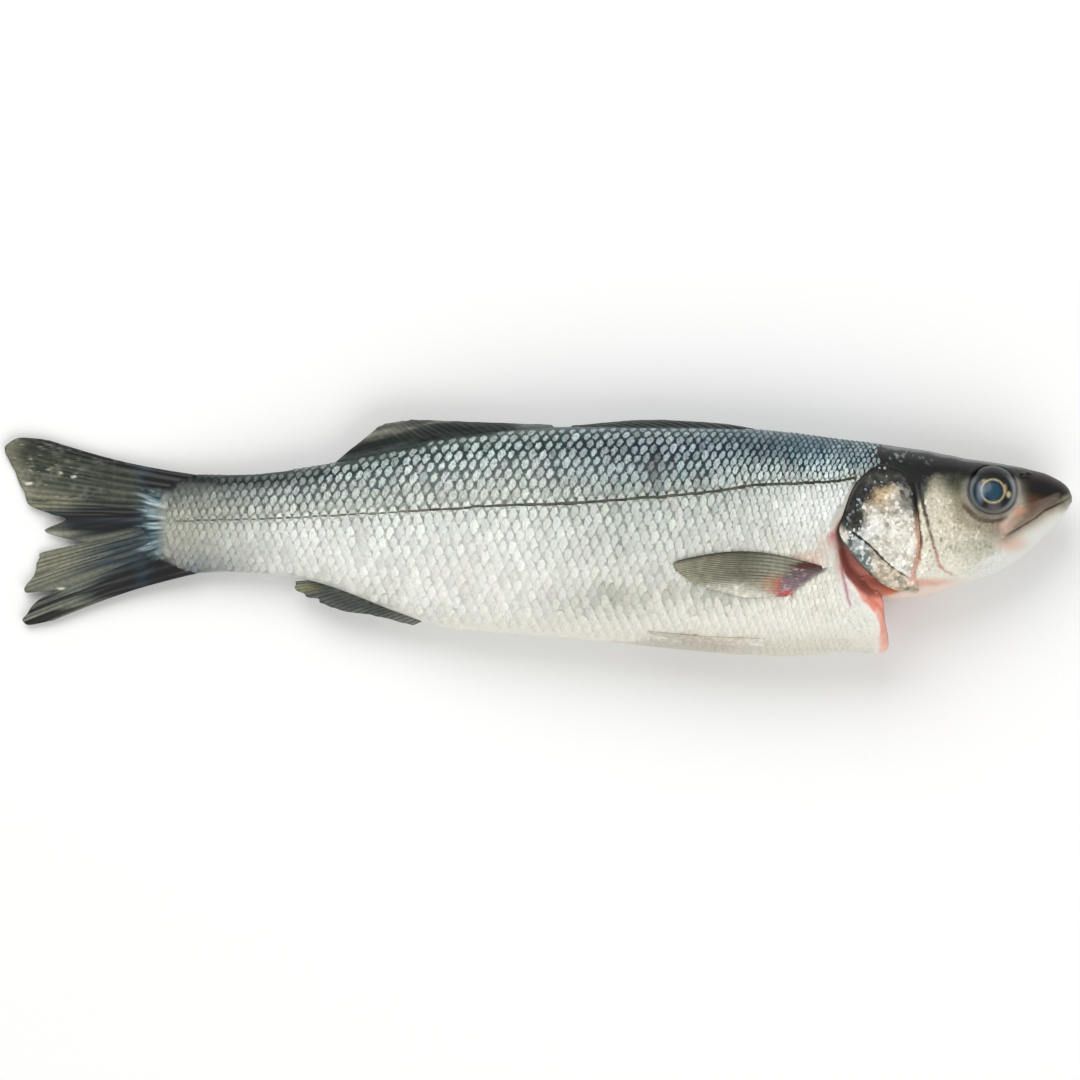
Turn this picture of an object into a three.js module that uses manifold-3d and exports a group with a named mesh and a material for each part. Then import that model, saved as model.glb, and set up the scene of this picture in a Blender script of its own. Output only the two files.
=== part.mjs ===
// A gutted European sea bass, whole, lying on its left side on a flat surface.
// Millimetres, +Z up. The snout points along +X, the back along +Y, and the right side of the fish is up.
// Places along the fish are given as the distance behind the snout, and heights as Y, above the
// middle of the flank.
import * as THREE from "three";
import { mergeVertices } from "three/addons/utils/BufferGeometryUtils.js";
import Module from "manifold-3d";

const wasm = await Module();
wasm.setup();

// ---- Driving dimensions -----------------------------------------------------------------------
const LENGTH = 400; // snout to tail tips
const BODY_LENGTH = 348.5; // snout to the end of the fleshy tail root
const THROAT = 71; // where the cut throat ends and the open belly wall begins
const GAP = 0.3; // between pieces that lie against each other
const COVER_PROUD = 0.9; // how far a gill cover stands proud of the shoulder
const COVER_THICKNESS = 1.8;
const FIN_LIFT = 0.8; // of the paired fins, off the side that they lie against
const RING_SIDES = 24; // corners round the body
const HEAD_RINGS = 12;
const TRUNK_RINGS = 25;

// Outlines of the body: [distance behind the snout, height].
const BACK_LINE = [
  [0, 14.6], [3.5, 19.4], [11, 24], [26, 27.7], [41, 29.9], [56, 32.9], [86, 36.7], [117, 40.4],
  [162, 41.5], [192, 41.5], [214, 40], [241, 36.3], [275, 28.8], [303, 24.7], [318, 23.6],
  [334, 24.2], [341, 20.5], [346, 13.5], [348.5, 6.5],
];
const JAW_LINE = [
  [0, 13.6], [3.5, 7.9], [11, 0], [18.5, -6.7], [26, -11.6], [41, -18.3], [56, -23.2], [64, -24.1],
  [THROAT, -24],
];
const BELLY_LINE = [
  [THROAT, -43.6], [78, -43.9], [87, -43], [100, -44.2], [116, -44.3], [131, -43.4], [160, -40.4],
  [190, -37.6], [213, -35.7], [235, -33.3], [254, -27.3], [267, -22.1], [279, -17.6], [292, -14.6],
  [312, -12.7], [325, -13.2], [334, -14.4], [341, -10.6], [346, -3.5], [348.5, 3.5],
];
// Half of the thickness from side to side, and where the fish is thickest: [distance, size].
const HALF_WIDTH = [
  [0, 1.5], [2, 5.2], [7, 8.6], [15, 11.6], [30, 15.4], [45, 18], [60, 20.2], [75, 21.4], [90, 22.2],
  [120, 22.9], [160, 22.8], [190, 21.9], [215, 20.2], [240, 17.4], [265, 14.2], [290, 11], [312, 8.8],
  [330, 7], [341, 5], [346, 3.4], [348.5, 2.4],
];
const WIDEST_LEVEL = [[0, 14], [15, 10], [40, 7], [80, 3], [160, 3], [240, 4], [312, 6], [349, 5]];
// Height of the fish's middle plane over the surface: stiff in the trunk, sagging to the tail.
const MIDDLE_PLANE = [
  [0, 19.8], [40, 20.6], [80, 21.1], [140, 21.2], [190, 20.6], [225, 18.4], [260, 14.6], [295, 10.8],
  [325, 7.9], [349, 5.4], [370, 3.4], [400, 2.4],
];
// How square the section is, above and below its widest level: 2 is an ellipse.
const ROUNDNESS_ABOVE = [[0, 2.1], [30, 2.5], [80, 2.3], [200, 2.15], [349, 2]];
const ROUNDNESS_BELOW = [[THROAT, 2], [240, 1.9], [349, 2]];
const ROUNDNESS_OF_JAW = [[0, 2], [30, 2.2], [50, 2.7], [THROAT, 3.6]];

const EYE = {
  behind: 30.3, height: 17.8, radius: 9.4, flatness: 0.62, sunk: 3.4, lookUp: 0.34, lookAhead: 0.13,
};
// The open front of the belly leans forward by reach at its lower corner, depth under its upper one.
const LEAN = { reach: 2.6, top: -24, depth: 20, fade: 14 };
// The cut along the belly, from the open throat back to the vent.
const SLIT = { from: THROAT - 6, to: 236, depth: 13, mouth: 6.5, top: 0.7 };

// ---- Curves and the body's surface ------------------------------------------------------------
// A smooth curve through points, as a function of their first coordinate.
function curve(points) {
  const slope = points.map((p, i) => {
    const before = points[Math.max(i - 1, 0)];
    const after = points[Math.min(i + 1, points.length - 1)];
    return (after[1] - before[1]) / (after[0] - before[0]);
  });
  return (at) => {
    let i = points.findIndex((p) => p[0] >= at);
    if (i === -1) return points[points.length - 1][1];
    if (i === 0) return points[0][1];
    i -= 1;
    const span = points[i + 1][0] - points[i][0];
    const t = (at - points[i][0]) / span;
    const rise = points[i + 1][1] - points[i][1];
    const a = slope[i] * span;
    const b = slope[i + 1] * span;
    return points[i][1] + a * t + (3 * rise - 2 * a - b) * t * t + (a + b - 2 * rise) * t ** 3;
  };
}

const back = curve(BACK_LINE);
const jaw = curve(JAW_LINE);
const belly = curve(BELLY_LINE);
const halfWidth = curve(HALF_WIDTH);
const widestLevel = curve(WIDEST_LEVEL);
const middlePlane = curve(MIDDLE_PLANE);
const roundnessAbove = curve(ROUNDNESS_ABOVE);
const roundnessBelow = curve(ROUNDNESS_BELOW);
const roundnessOfJaw = curve(ROUNDNESS_OF_JAW);
const xOf = (behind) => LENGTH / 2 - behind;

// The height of the lower edge and the roundness under the widest level. The head and the trunk
// meet in a step at the throat.
function lowerHalf(behind, isHead) {
  return isHead ? [jaw(behind), roundnessOfJaw(behind)] : [belly(behind), roundnessBelow(behind)];
}

// Half thickness at a place on the side of the fish, 0 outside its outline.
function sideHeight(behind, y) {
  const level = widestLevel(behind);
  const upper = [back(behind), roundnessAbove(behind)];
  const [edge, n] = y > level ? upper : lowerHalf(behind, behind < THROAT);
  const share = Math.min(1, Math.abs((y - level) / (edge - level)));
  return halfWidth(behind) * (1 - share ** n) ** (1 / n);
}

function lean(behind, y) {
  const down = Math.max(0, (LEAN.top - y) / LEAN.depth);
  const near = Math.exp(-(((behind - THROAT) / LEAN.fade) ** 2));
  return LEAN.reach * Math.sqrt(down) * near;
}

// One ring of the body, grown by offset and pressed flat where it would go below floor.
function ring({ behind, isHead }, offset, floor) {
  const level = widestLevel(behind);
  const width = halfWidth(behind) + offset;
  const [bottom, roundness] = lowerHalf(behind, isHead);
  const endShift = 1 - (2 * behind) / BODY_LENGTH;
  const points = [];
  for (let i = 0; i < RING_SIDES; i += 1) {
    const angle = (2 * Math.PI * i) / RING_SIDES;
    const up = Math.sin(angle);
    const out = Math.cos(angle);
    const n = up > 0 ? roundnessAbove(behind) : roundness;
    const reach = (up > 0 ? back(behind) - level : level - bottom) + offset;
    const y = level + reach * Math.sign(up) * Math.abs(up) ** (2 / n);
    const z = middlePlane(behind) + width * Math.sign(out) * Math.abs(out) ** (2 / n);
    points.push([xOf(behind) + offset * endShift + lean(behind, y), y, Math.max(floor, z)]);
  }
  return points;
}

// ---- Solids -----------------------------------------------------------------------------------
// A closed skin over rings of points, with a pole at each end.
function skinOver(rings) {
  const sides = rings[0].length;
  const middle = (r) => r.reduce((s, p) => s.map((v, k) => v + p[k] / sides), [0, 0, 0]);
  const points = [middle(rings[0]), ...rings.flat(), middle(rings[rings.length - 1])];
  const last = points.length - 1;
  const faces = [];
  for (let i = 0; i < sides; i += 1) {
    const next = (i + 1) % sides;
    faces.push(0, 1 + next, 1 + i);
    faces.push(last, last - sides + i, last - sides + next);
    for (let r = 0; r < rings.length - 1; r += 1) {
      const a = 1 + r * sides;
      const b = a + sides;
      faces.push(a + i, a + next, b + next, a + i, b + next, b + i);
    }
  }
  return geometryOf(points, faces);
}

function geometryOf(points, faces) {
  const geometry = new THREE.BufferGeometry();
  geometry.setAttribute("position", new THREE.Float32BufferAttribute(points.flat(), 3));
  geometry.setIndex(faces);
  return geometry;
}

// A three.js geometry as a manifold-3d solid, whichever way its faces were wound.
function solidOf(geometry) {
  const bare = geometry.clone();
  bare.deleteAttribute("normal");
  bare.deleteAttribute("uv");
  const merged = mergeVertices(bare, 1e-4);
  const triVerts = new Uint32Array(merged.index.array);
  const vertProperties = new Float32Array(merged.attributes.position.array);
  const made = new wasm.Manifold(new wasm.Mesh({ numProp: 3, vertProperties, triVerts }));
  if (made.volume() > 0) return made;
  for (let i = 0; i < triVerts.length; i += 3) {
    [triVerts[i + 1], triVerts[i + 2]] = [triVerts[i + 2], triVerts[i + 1]];
  }
  return new wasm.Manifold(new wasm.Mesh({ numProp: 3, vertProperties, triVerts }));
}

function geometryFrom(solid) {
  const { numProp, numVert, vertProperties, triVerts } = solid.getMesh();
  const points = [];
  for (let i = 0; i < numVert; i += 1) {
    points.push([...vertProperties.subarray(i * numProp, i * numProp + 3)]);
  }
  return geometryOf(points, [...triVerts]);
}

// A straight-sided block over an outline of [distance behind the snout, height] points.
function blockOver(outline, low, depth) {
  const shape = new THREE.Shape(outline.map(([d, y]) => new THREE.Vector2(xOf(d), y)));
  const block = new THREE.ExtrudeGeometry(shape, { depth, bevelEnabled: false });
  return solidOf(block.translate(0, 0, low));
}

function middleOf(outline) {
  const sum = outline.reduce(([a, b], [d, y]) => [a + d, b + y], [0, 0]);
  return sum.map((v) => v / outline.length);
}

function smoothOutline(points, steps) {
  const closed = new THREE.CatmullRomCurve3(points.map(([d, y]) => new THREE.Vector3(d, y, 0)), true);
  return closed.getPoints(steps).slice(0, -1).map((p) => [p.x, p.y]);
}

// The height of the fish's side at a place, moved out by offset. Nothing goes below the surface that
// the fish lies on: there a layer that is proud of the skin keeps its thickness.
function sideAt(behind, y, offset, isRight, proud = 0) {
  const out = sideHeight(behind, y) + offset;
  return middlePlane(behind) + (isRight ? out : Math.max(-out, proud - offset - middlePlane(behind)));
}

// A plate that follows the side of the fish, over an outline of [distance, height] points. It is
// made of rings at these shares of the way out to its edge.
const PLATE_SHARES = [0.12, 0.45, 0.75, 1];
function plateOn(outline, low, high, isRight) {
  const [midD, midY] = middleOf(outline);
  const ringAt = (share, offset) => outline.map(([d, y]) => {
    const [atD, atY] = [midD + (d - midD) * share, midY + (y - midY) * share];
    return [xOf(atD), atY, sideAt(atD, atY, offset, isRight, high)];
  });
  const upper = PLATE_SHARES.map((share) => ringAt(share, high));
  const lower = PLATE_SHARES.map((share) => ringAt(share, low)).reverse();
  return solidOf(skinOver([...upper, ...lower]));
}

// What cuts a groove of the given width along a line of [distance, height] points on the side of the
// fish. It narrows to its ends, and stands clear of the skin.
const CLEAR = 3;
function grooveOn(points, width, depth, isRight) {
  const line = new THREE.SplineCurve(points.map(([d, y]) => new THREE.Vector2(d, y)));
  const steps = points.length * 2;
  const rings = [];
  for (let i = 0; i <= steps; i += 1) {
    const at = line.getPoint(i / steps);
    const across = line.getTangent(i / steps).rotateAround(new THREE.Vector2(), Math.PI / 2);
    const half = (width / 2) * Math.sin((Math.PI * (i + 0.6)) / (steps + 1.2)) ** 0.5;
    const one = at.clone().addScaledVector(across, half);
    const two = at.clone().addScaledVector(across, -half);
    const corner = (p, offset) => [xOf(p.x), p.y, sideAt(p.x, p.y, offset, isRight, 0)];
    rings.push([corner(one, -depth), corner(two, -depth), corner(two, CLEAR), corner(one, CLEAR)]);
  }
  return solidOf(skinOver(rings));
}

function widened(outline, by) {
  const [midD, midY] = middleOf(outline);
  return outline.map(([d, y]) => {
    const far = Math.hypot(d - midD, y - midY);
    return [d + ((d - midD) / far) * by, y + ((y - midY) / far) * by];
  });
}

// ---- Body -------------------------------------------------------------------------------------
// Rings are close together at the snout and at the root of the tail, where the outline turns quickly.
const headStations = Array.from({ length: HEAD_RINGS + 1 }, (_, i) => (
  { behind: THROAT * (0.002 + 0.998 * (i / HEAD_RINGS) ** 1.7), isHead: true }
));
const trunkStations = Array.from({ length: TRUNK_RINGS + 1 }, (_, i) => (
  { behind: BODY_LENGTH - (BODY_LENGTH - THROAT) * (1 - i / TRUNK_RINGS) ** 1.5, isHead: false }
));
const STATIONS = [...headStations, ...trunkStations];

function bodyShell(offset, floor) {
  return solidOf(skinOver(STATIONS.map((station) => ring(station, offset, floor))));
}

// The gill cover seen from the side: up its front groove, over the top, and down its free edge.
const COVER_OUTLINE = smoothOutline([
  [58, -20.2], [59.2, -13], [57.6, -3], [58.2, 8], [59.5, 18], [63.5, 26], [74, 29.6], [82, 21],
  [85.6, 11], [87.6, 2.4], [84.6, -3.4], [81, -8.6], [75.4, -14.2], [69.6, -18.2], [63.8, -20],
], 30);
// The hollow behind it, which the missing gills leave: its rear edge is the shoulder.
const CHAMBER_OUTLINE = smoothOutline([
  [62.5, -17.5], [62, -4], [64, 9], [72, 16], [82, 12], [89, 4], [88.4, -3], [86, -12.4], [82.4, -17],
  [77.4, -21.3], [72.8, -22.6], [66.5, -21.4],
], 24);
const CHAMBER_WALL = 5.5; // from the middle plane to the floor of the hollow
const MOUTH = [[-1, 16.4], [6, 12.2], [13, 8.2], [20, 4.4], [26.4, 1.2]];
const CHEEK_GROOVE = [[48.6, 21], [50, 13], [51.6, 3], [54, -8], [57, -16]];

function gillChamber(isRight) {
  const depth = 2 * halfWidth(THROAT);
  const floor = middlePlane(THROAT) + (isRight ? CHAMBER_WALL : -CHAMBER_WALL - depth);
  return blockOver(CHAMBER_OUTLINE, floor, depth);
}

function gillCover(isRight) {
  return plateOn(COVER_OUTLINE, COVER_PROUD - COVER_THICKNESS, COVER_PROUD, isRight);
}

// The room that a gill cover takes from the body, with its gap.
function gillCoverBed(isRight) {
  const low = COVER_PROUD - COVER_THICKNESS - GAP;
  return plateOn(widened(COVER_OUTLINE, GAP), low, COVER_PROUD + GAP, isRight);
}

function eyeball(isRight, grow) {
  const { behind, height, radius, flatness, sunk, lookUp, lookAhead } = EYE;
  const ball = new THREE.SphereGeometry(radius + grow, 18, 10).rotateX(Math.PI / 2);
  const side = isRight ? 1 : -1;
  const surface = sideHeight(behind, height) - sunk;
  ball.scale(1, 1, (flatness * radius + grow) / (radius + grow));
  ball.rotateX(-side * lookUp);
  ball.rotateY(side * lookAhead);
  ball.translate(xOf(behind), height, middlePlane(behind) + side * surface);
  return solidOf(ball);
}

// The cut along the belly is a wedge that grows narrower and less deep towards the vent. At the vent
// it keeps the share SLIT_END of its depth and width.
const SLIT_END = 0.35;
const SLIT_STEPS = 16;
function bellySlit() {
  const rings = [];
  for (let i = 0; i <= SLIT_STEPS; i += 1) {
    const behind = SLIT.from + ((SLIT.to - SLIT.from) * i) / SLIT_STEPS;
    const open = SLIT_END + (1 - SLIT_END) * (1 - i / SLIT_STEPS);
    const edge = belly(Math.max(behind, THROAT));
    const top = edge + SLIT.depth * Math.sqrt(open);
    const low = edge - 2 * CLEAR;
    const half = 0.65 * SLIT.mouth * open;
    const z = middlePlane(behind);
    const x = xOf(behind) + lean(behind, low) / 2;
    const tip = SLIT.top / 2;
    rings.push([[x, top, z - tip], [x, low, z - half], [x, low, z + half], [x, top, z + tip]]);
  }
  return solidOf(skinOver(rings));
}

// ---- Fins -------------------------------------------------------------------------------------
// A fin is a thin fan of rays. rows gives, for places across the fan, the root and the tip of a ray
// as [across, root distance, root height, tip distance, tip height].
function fan(rows) {
  const read = (k) => (at) => {
    const i = Math.max(1, rows.findIndex((r) => r[0] >= at));
    const t = (at - rows[i - 1][0]) / (rows[i][0] - rows[i - 1][0]);
    return rows[i - 1][k] + t * (rows[i][k] - rows[i - 1][k]);
  };
  const [rootD, rootY, tipD, tipY] = [1, 2, 3, 4].map(read);
  return (along, across) => [
    rootD(across) + along * (tipD(across) - rootD(across)),
    rootY(across) + along * (tipY(across) - rootY(across)),
  ];
}

// A thin solid over a fan: each ray is a ridge, and the skin between two rays is thinner by WEB.
// height(distance, y, along) is the level of its middle. grow widens it all round, for its bed.
const WEB = 0.55;
const LONGER = 0.03; // share of a fin's length that each mm of grow adds
function finSolid({ place, height, rays, steps, thickness, bend = () => 0 }, grow = 0) {
  const columns = 2 * rays;
  const sheet = (side) => (i, j) => {
    const along = (i / steps) * (1 + grow * LONGER) - (grow * LONGER) / 2;
    const across = j / columns;
    const [d, y] = place(along, across);
    const raised = y + bend(along, across);
    const ridge = grow || j % 2 ? 1 : WEB;
    const half = (thickness[0] + along * (thickness[1] - thickness[0])) * 0.5 * ridge + grow;
    const edge = grow ? (j === 0 ? -1 : j === columns ? 1 : 0) * grow : 0;
    return [xOf(d), raised - edge, Math.max(-grow, height(d, raised, along) + side * half)];
  };
  const rings = [];
  for (let i = 0; i <= steps; i += 1) {
    const top = [];
    const bottom = [];
    for (let j = 0; j <= columns; j += 1) {
      top.push(sheet(1)(i, j));
      bottom.unshift(sheet(-1)(i, j));
    }
    rings.push([...top, ...bottom]);
  }
  return solidOf(stripOver(rings, columns + 1));
}

// The closed skin of a fin: like skinOver, but each end is closed by a strip between its two sheets.
function stripOver(rings, wide) {
  const sides = rings[0].length;
  const faces = [];
  for (let r = 0; r < rings.length - 1; r += 1) {
    for (let i = 0; i < sides; i += 1) {
      const next = (i + 1) % sides;
      const [a, b] = [r * sides, (r + 1) * sides];
      faces.push(a + i, a + next, b + next, a + i, b + next, b + i);
    }
  }
  for (let j = 0; j < wide - 1; j += 1) {
    const [p, q] = [j, j + 1];
    const [pp, qq] = [sides - 1 - j, sides - 2 - j];
    const end = (rings.length - 1) * sides;
    faces.push(p, qq, q, p, pp, qq);
    faces.push(end + p, end + q, end + qq, end + p, end + qq, end + pp);
  }
  return geometryOf(rings.flat(), faces);
}

const onMiddle = (sway) => (d, y, along) => middlePlane(d) + sway * along * Math.sin(y / 5);

// Torn between its rays and forked: the upper lobe, two middle rays, then the lower lobe in two.
const TAIL_FIN = {
  place: fan([
    [0, 331, 22.4, 388, 37], [0.05, 333, 21.2, 397, 36.6], [0.1, 335, 19.8, 399.6, 34],
    [0.2, 337, 16.6, 397, 26.3], [0.3, 338, 13.2, 393.5, 17.7], [0.375, 338.6, 10.8, 390.7, 12],
    [0.425, 339, 9, 383, 8.9], [0.45, 339, 8.2, 377, 6.9], [0.475, 339, 7.4, 385.3, 2.8],
    [0.5, 339, 6.6, 377, 0], [0.525, 339, 5.8, 362, -3.4], [0.55, 339, 5, 384.5, -5],
    [0.575, 339, 4.2, 387.2, -7.4], [0.675, 338.6, 1, 389.2, -13.8], [0.775, 338, -2.6, 392.4, -20.6],
    [0.8, 337.6, -3.6, 380, -19.8], [0.825, 337.2, -4.6, 387, -22.8], [0.875, 336.4, -6.8, 390.7, -27.3],
    [0.95, 334.6, -10.2, 393.4, -32.3], [1, 333, -12.6, 386, -31.8],
  ]),
  height: onMiddle(0.9),
  bend: (along, across) => (across < 0.5 ? -1 : 1) * 4.6 * Math.abs(across - 0.5) * Math.sin(Math.PI * along),
  rays: 18, steps: 6, thickness: [2.6, 1],
};
// Spines folded back into their groove.
const SPINY_DORSAL_FIN = {
  place: fan([
    [0, 106, 35.6, 118, 41.4], [0.2, 116, 36.6, 132, 44], [0.5, 132, 37, 158, 45.2],
    [0.8, 147, 37.6, 178, 43.9], [1, 158, 38.4, 190, 42.9],
  ]),
  height: onMiddle(0.5), rays: 9, steps: 4, thickness: [2.8, 1.4],
};
const SOFT_DORSAL_FIN = {
  place: fan([
    [0, 190, 37.4, 197, 43.4], [0.25, 208, 36.4, 222, 44], [0.5, 226, 34.2, 244.3, 45.1],
    [0.75, 243, 31.4, 257.4, 43.5], [0.88, 252, 29.4, 262.6, 40], [1, 260, 27.4, 274.6, 30.2],
  ]),
  height: onMiddle(0.8), rays: 12, steps: 4, thickness: [2.6, 1.1],
};
const ANAL_FIN = {
  place: fan([
    [0, 237, -28.6, 247, -32.9], [0.3, 250, -24.8, 262, -29], [0.5, 258, -21.6, 273.5, -27.2],
    [0.7, 265, -18.6, 282.5, -23.9], [0.85, 270, -16.6, 290, -20], [1, 275, -14.8, 292, -16.4],
  ]),
  height: onMiddle(0.8), rays: 11, steps: 4, thickness: [2.6, 1.1],
};

// The paired fins lie flat against the side that they grow from. The left pectoral fin, under the
// fish, is pressed into it.
const PECTORAL = {
  place: fan([
    [0, 93.4, -9.6, 148.6, -8.4], [0.2, 95.4, -12.2, 149.8, -10.8], [0.4, 98, -14.6, 146.8, -14],
    [0.6, 101, -17, 141.8, -17], [0.8, 103.8, -19.4, 133, -19.8], [1, 106.2, -22, 123, -22.2],
  ]),
  bend: (along, across) => 4.2 * (1 - across) * Math.sin(Math.PI * along),
  rays: 8, steps: 6, thickness: [1.7, 1],
};
const PELVIC = {
  place: fan([[0, 115, -37.6, 160, -34.6], [0.5, 115.4, -39, 157, -36.2], [1, 116, -40.4, 146, -38.2]]),
  bend: (along) => -0.6 * Math.sin(Math.PI * along),
  rays: 4, steps: 6, thickness: [2.2, 1.4],
};
function onSide(fin, isRight) {
  const lift = FIN_LIFT + fin.thickness[0] / 2;
  const height = (d, y) => {
    const out = sideHeight(d, y) + lift;
    return isRight ? middlePlane(d) + out : Math.max(fin.thickness[0] / 2, middlePlane(d) - out);
  };
  return { ...fin, height };
}

// ---- Assembly ---------------------------------------------------------------------------------
const SKIN = { color: 0xb9bfbe, roughness: 0.35, metalness: 0.3 };
const COVER = { color: 0xb8b3a4, roughness: 0.35, metalness: 0.25 };
const DARK_FIN = { color: 0x4d5048, roughness: 0.5, metalness: 0 };
const PALE_FIN = { color: 0xd6d0bf, roughness: 0.5, metalness: 0 };
const EYE_GLASS = { color: 0x2d3f4c, roughness: 0.08, metalness: 0 };

const fish = new THREE.Group();
function place(name, solid, look) {
  const mesh = new THREE.Mesh(geometryFrom(solid), new THREE.MeshStandardMaterial(look));
  mesh.name = name;
  fish.add(mesh);
}

const MIDDLE_FINS = {
  tail_fin: TAIL_FIN, spiny_dorsal_fin: SPINY_DORSAL_FIN, soft_dorsal_fin: SOFT_DORSAL_FIN, anal_fin: ANAL_FIN,
};
const SIDE_NAMES = [["right", true], ["left", false]];

let body = bodyShell(0, 0).subtract(bellySlit());
body = body.subtract(finSolid(onSide(PECTORAL, false), GAP));
for (const [side, isRight] of SIDE_NAMES) {
  body = body.subtract(gillChamber(isRight));
  body = body.subtract(gillCoverBed(isRight)).subtract(eyeball(isRight, GAP));
  body = body.subtract(grooveOn(MOUTH, 1.5, 1.1, isRight));
  body = body.subtract(grooveOn(CHEEK_GROOVE, 1.3, 1, isRight));
  place(`gill_cover_${side}`, gillCover(isRight), COVER);
  place(`eye_${side}`, eyeball(isRight, 0), EYE_GLASS);
  place(`pectoral_fin_${side}`, finSolid(onSide(PECTORAL, isRight)), DARK_FIN);
  place(`pelvic_fin_${side}`, finSolid(onSide(PELVIC, isRight)), PALE_FIN);
}
const bodyRoom = bodyShell(GAP, 0);
for (const [name, fin] of Object.entries(MIDDLE_FINS)) {
  place(name, finSolid(fin).subtract(bodyRoom), DARK_FIN);
}
place("body", body, SKIN);

// The origin is under the middle of the fish's box.
const box = new THREE.Box3().setFromObject(fish);
fish.position.set(-(box.min.x + box.max.x) / 2, -(box.min.y + box.max.y) / 2, -box.min.z);

export default fish;
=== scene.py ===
# A raw, gutted sea bass lying on its left side: smooth skin over the head and trunk, overlapping scales,
# bony gill covers with the red hollow that the gills left, wet eyes, and fins of skin over fine rays.
import math

import bmesh
import bpy
import numpy as np
from mathutils import Matrix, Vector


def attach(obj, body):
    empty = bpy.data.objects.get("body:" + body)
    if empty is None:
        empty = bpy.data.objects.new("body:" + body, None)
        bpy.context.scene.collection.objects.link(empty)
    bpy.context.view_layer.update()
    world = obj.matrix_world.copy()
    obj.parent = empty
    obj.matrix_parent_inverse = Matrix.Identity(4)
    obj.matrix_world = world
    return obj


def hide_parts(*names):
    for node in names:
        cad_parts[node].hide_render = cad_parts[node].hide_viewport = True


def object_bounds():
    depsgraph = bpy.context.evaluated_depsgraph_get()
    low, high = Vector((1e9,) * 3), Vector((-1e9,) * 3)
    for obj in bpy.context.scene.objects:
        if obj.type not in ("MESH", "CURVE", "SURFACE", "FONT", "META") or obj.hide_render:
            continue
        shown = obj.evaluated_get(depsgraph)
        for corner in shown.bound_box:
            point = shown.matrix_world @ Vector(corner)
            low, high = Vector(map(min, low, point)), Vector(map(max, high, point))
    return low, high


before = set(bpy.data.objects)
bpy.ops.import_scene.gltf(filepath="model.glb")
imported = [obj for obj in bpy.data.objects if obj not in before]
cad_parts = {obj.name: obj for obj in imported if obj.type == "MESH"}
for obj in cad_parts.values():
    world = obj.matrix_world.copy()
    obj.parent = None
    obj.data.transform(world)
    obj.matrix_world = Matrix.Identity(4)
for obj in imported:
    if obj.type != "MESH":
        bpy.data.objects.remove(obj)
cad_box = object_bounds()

MM = 0.001

# ---- Sizes, in millimetres --------------------------------------------------------------------
# Places are given as x, the distance behind the snout, and y, the height on the side of the fish from
# its belly to its back, measured from the middle of the flank.
SNOUT_X = cad_box[1].x / MM
BODY_LENGTH = 348.5
THROAT = 71  # where the cut throat ends and the open belly wall begins

BACK_LINE = [
    (0, 15.4), (1, 17.9), (2.5, 19.8), (5, 21.6), (11, 24.3), (26, 27.7), (41, 29.9), (56, 32.9), (86, 36.7),
    (117, 40.4),
    (162, 41.5), (192, 41.5), (214, 40), (241, 36.2), (275, 28.4), (303, 24.1), (318, 23.6),
    (331, 23.4), (339, 20.5), (345, 13.5), (348.5, 6.5),
]
JAW_LINE = [
    (0, 13.6), (3.5, 7.9), (11, 0), (18.5, -6.7), (26, -11.6), (41, -18.3), (56, -23.2), (64, -24.1),
    (THROAT, -24),
]
BELLY_LINE = [
    (THROAT, -41), (71.6, -42.6), (72.8, -43.5), (76, -43.9), (87, -43), (100, -44.2), (116, -44.3),
    (131, -43.4), (160, -40.4),
    (190, -37.6), (213, -35.7), (235, -33.3), (254, -27.3), (267, -22.1), (279, -17.6), (292, -14.6),
    (312, -12.7), (325, -13), (332, -13.2), (339, -10.4), (345, -3.5), (348.5, 3.5),
]
HALF_WIDTH = [
    (0, 1.5), (2, 5.2), (7, 8.6), (15, 11.6), (30, 15.4), (45, 18), (60, 20.2), (75, 21.4), (90, 22.2),
    (120, 22.9), (160, 22.8), (190, 21.9), (215, 20.2), (240, 17.4), (265, 14.2), (290, 11), (312, 8.8),
    (328, 6.6), (340, 4), (346, 2.6), (348.5, 1.8),
]
WIDEST_LEVEL = [(0, 14), (15, 10), (40, 7), (80, 3), (160, 3), (240, 4), (312, 6), (349, 5)]
MIDDLE_PLANE = [
    (0, 19.8), (40, 20.6), (80, 21.1), (140, 21.2), (190, 20.6), (225, 18.4), (260, 14.6), (295, 10.8),
    (325, 7.9), (349, 5.4), (370, 3.4), (400, 2.4),
]
ROUNDNESS_ABOVE = [(0, 2.1), (30, 2.5), (80, 2.3), (200, 2.15), (349, 2)]
ROUNDNESS_BELOW = [(THROAT, 2), (240, 1.9), (349, 2)]
ROUNDNESS_OF_JAW = [(0, 2), (30, 2.2), (50, 2.7), (THROAT, 3.6)]
LATERAL_LINE = [
    (84, 22), (90, 20.9), (104, 20.2), (119, 19.7), (131, 17.7), (145, 16.1), (160, 14.9), (177, 13.7),
    (195, 12.6), (215, 12), (241, 10.4), (275, 8.5), (301, 7.1), (318, 6.8), (345, 6),
]

# Features of the head, as lines of (x, y).
EYE = (30.3, 17.8)
EYE_RADIUS = 9.4
EYE_SUNK = 3.4
MOUTH = [(-1, 16.6), (3, 13.9), (6, 12.3), (10, 10.6), (14, 7.6), (18, 5.1), (22, 2.6), (25.6, 0.5)]
JAW_PLATE_BACK = [(22, 2.9), (17, 6), (12, 9.4), (6, 12.8)]
JAW_PLATE = [(5, 17.2), (12, 14.6), (17, 12.8), (21, 10.6), (24.6, 7.4), (27, 4.2), (26.6, 1)]
CHEEK_EDGE = [
    (57.4, 26), (57.2, 20), (56.6, 14), (55.6, 9), (54.2, 3.6), (52.8, -1.4), (51.2, -6.6), (49.6, -11),
    (45.6, -13.6),
]
COVER_HINGE = [(60, 22), (59.2, 16.8), (58.7, 9.4), (57.5, 0.7), (57.3, -2.5), (58.2, -9.2), (60, -15.4)]
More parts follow.
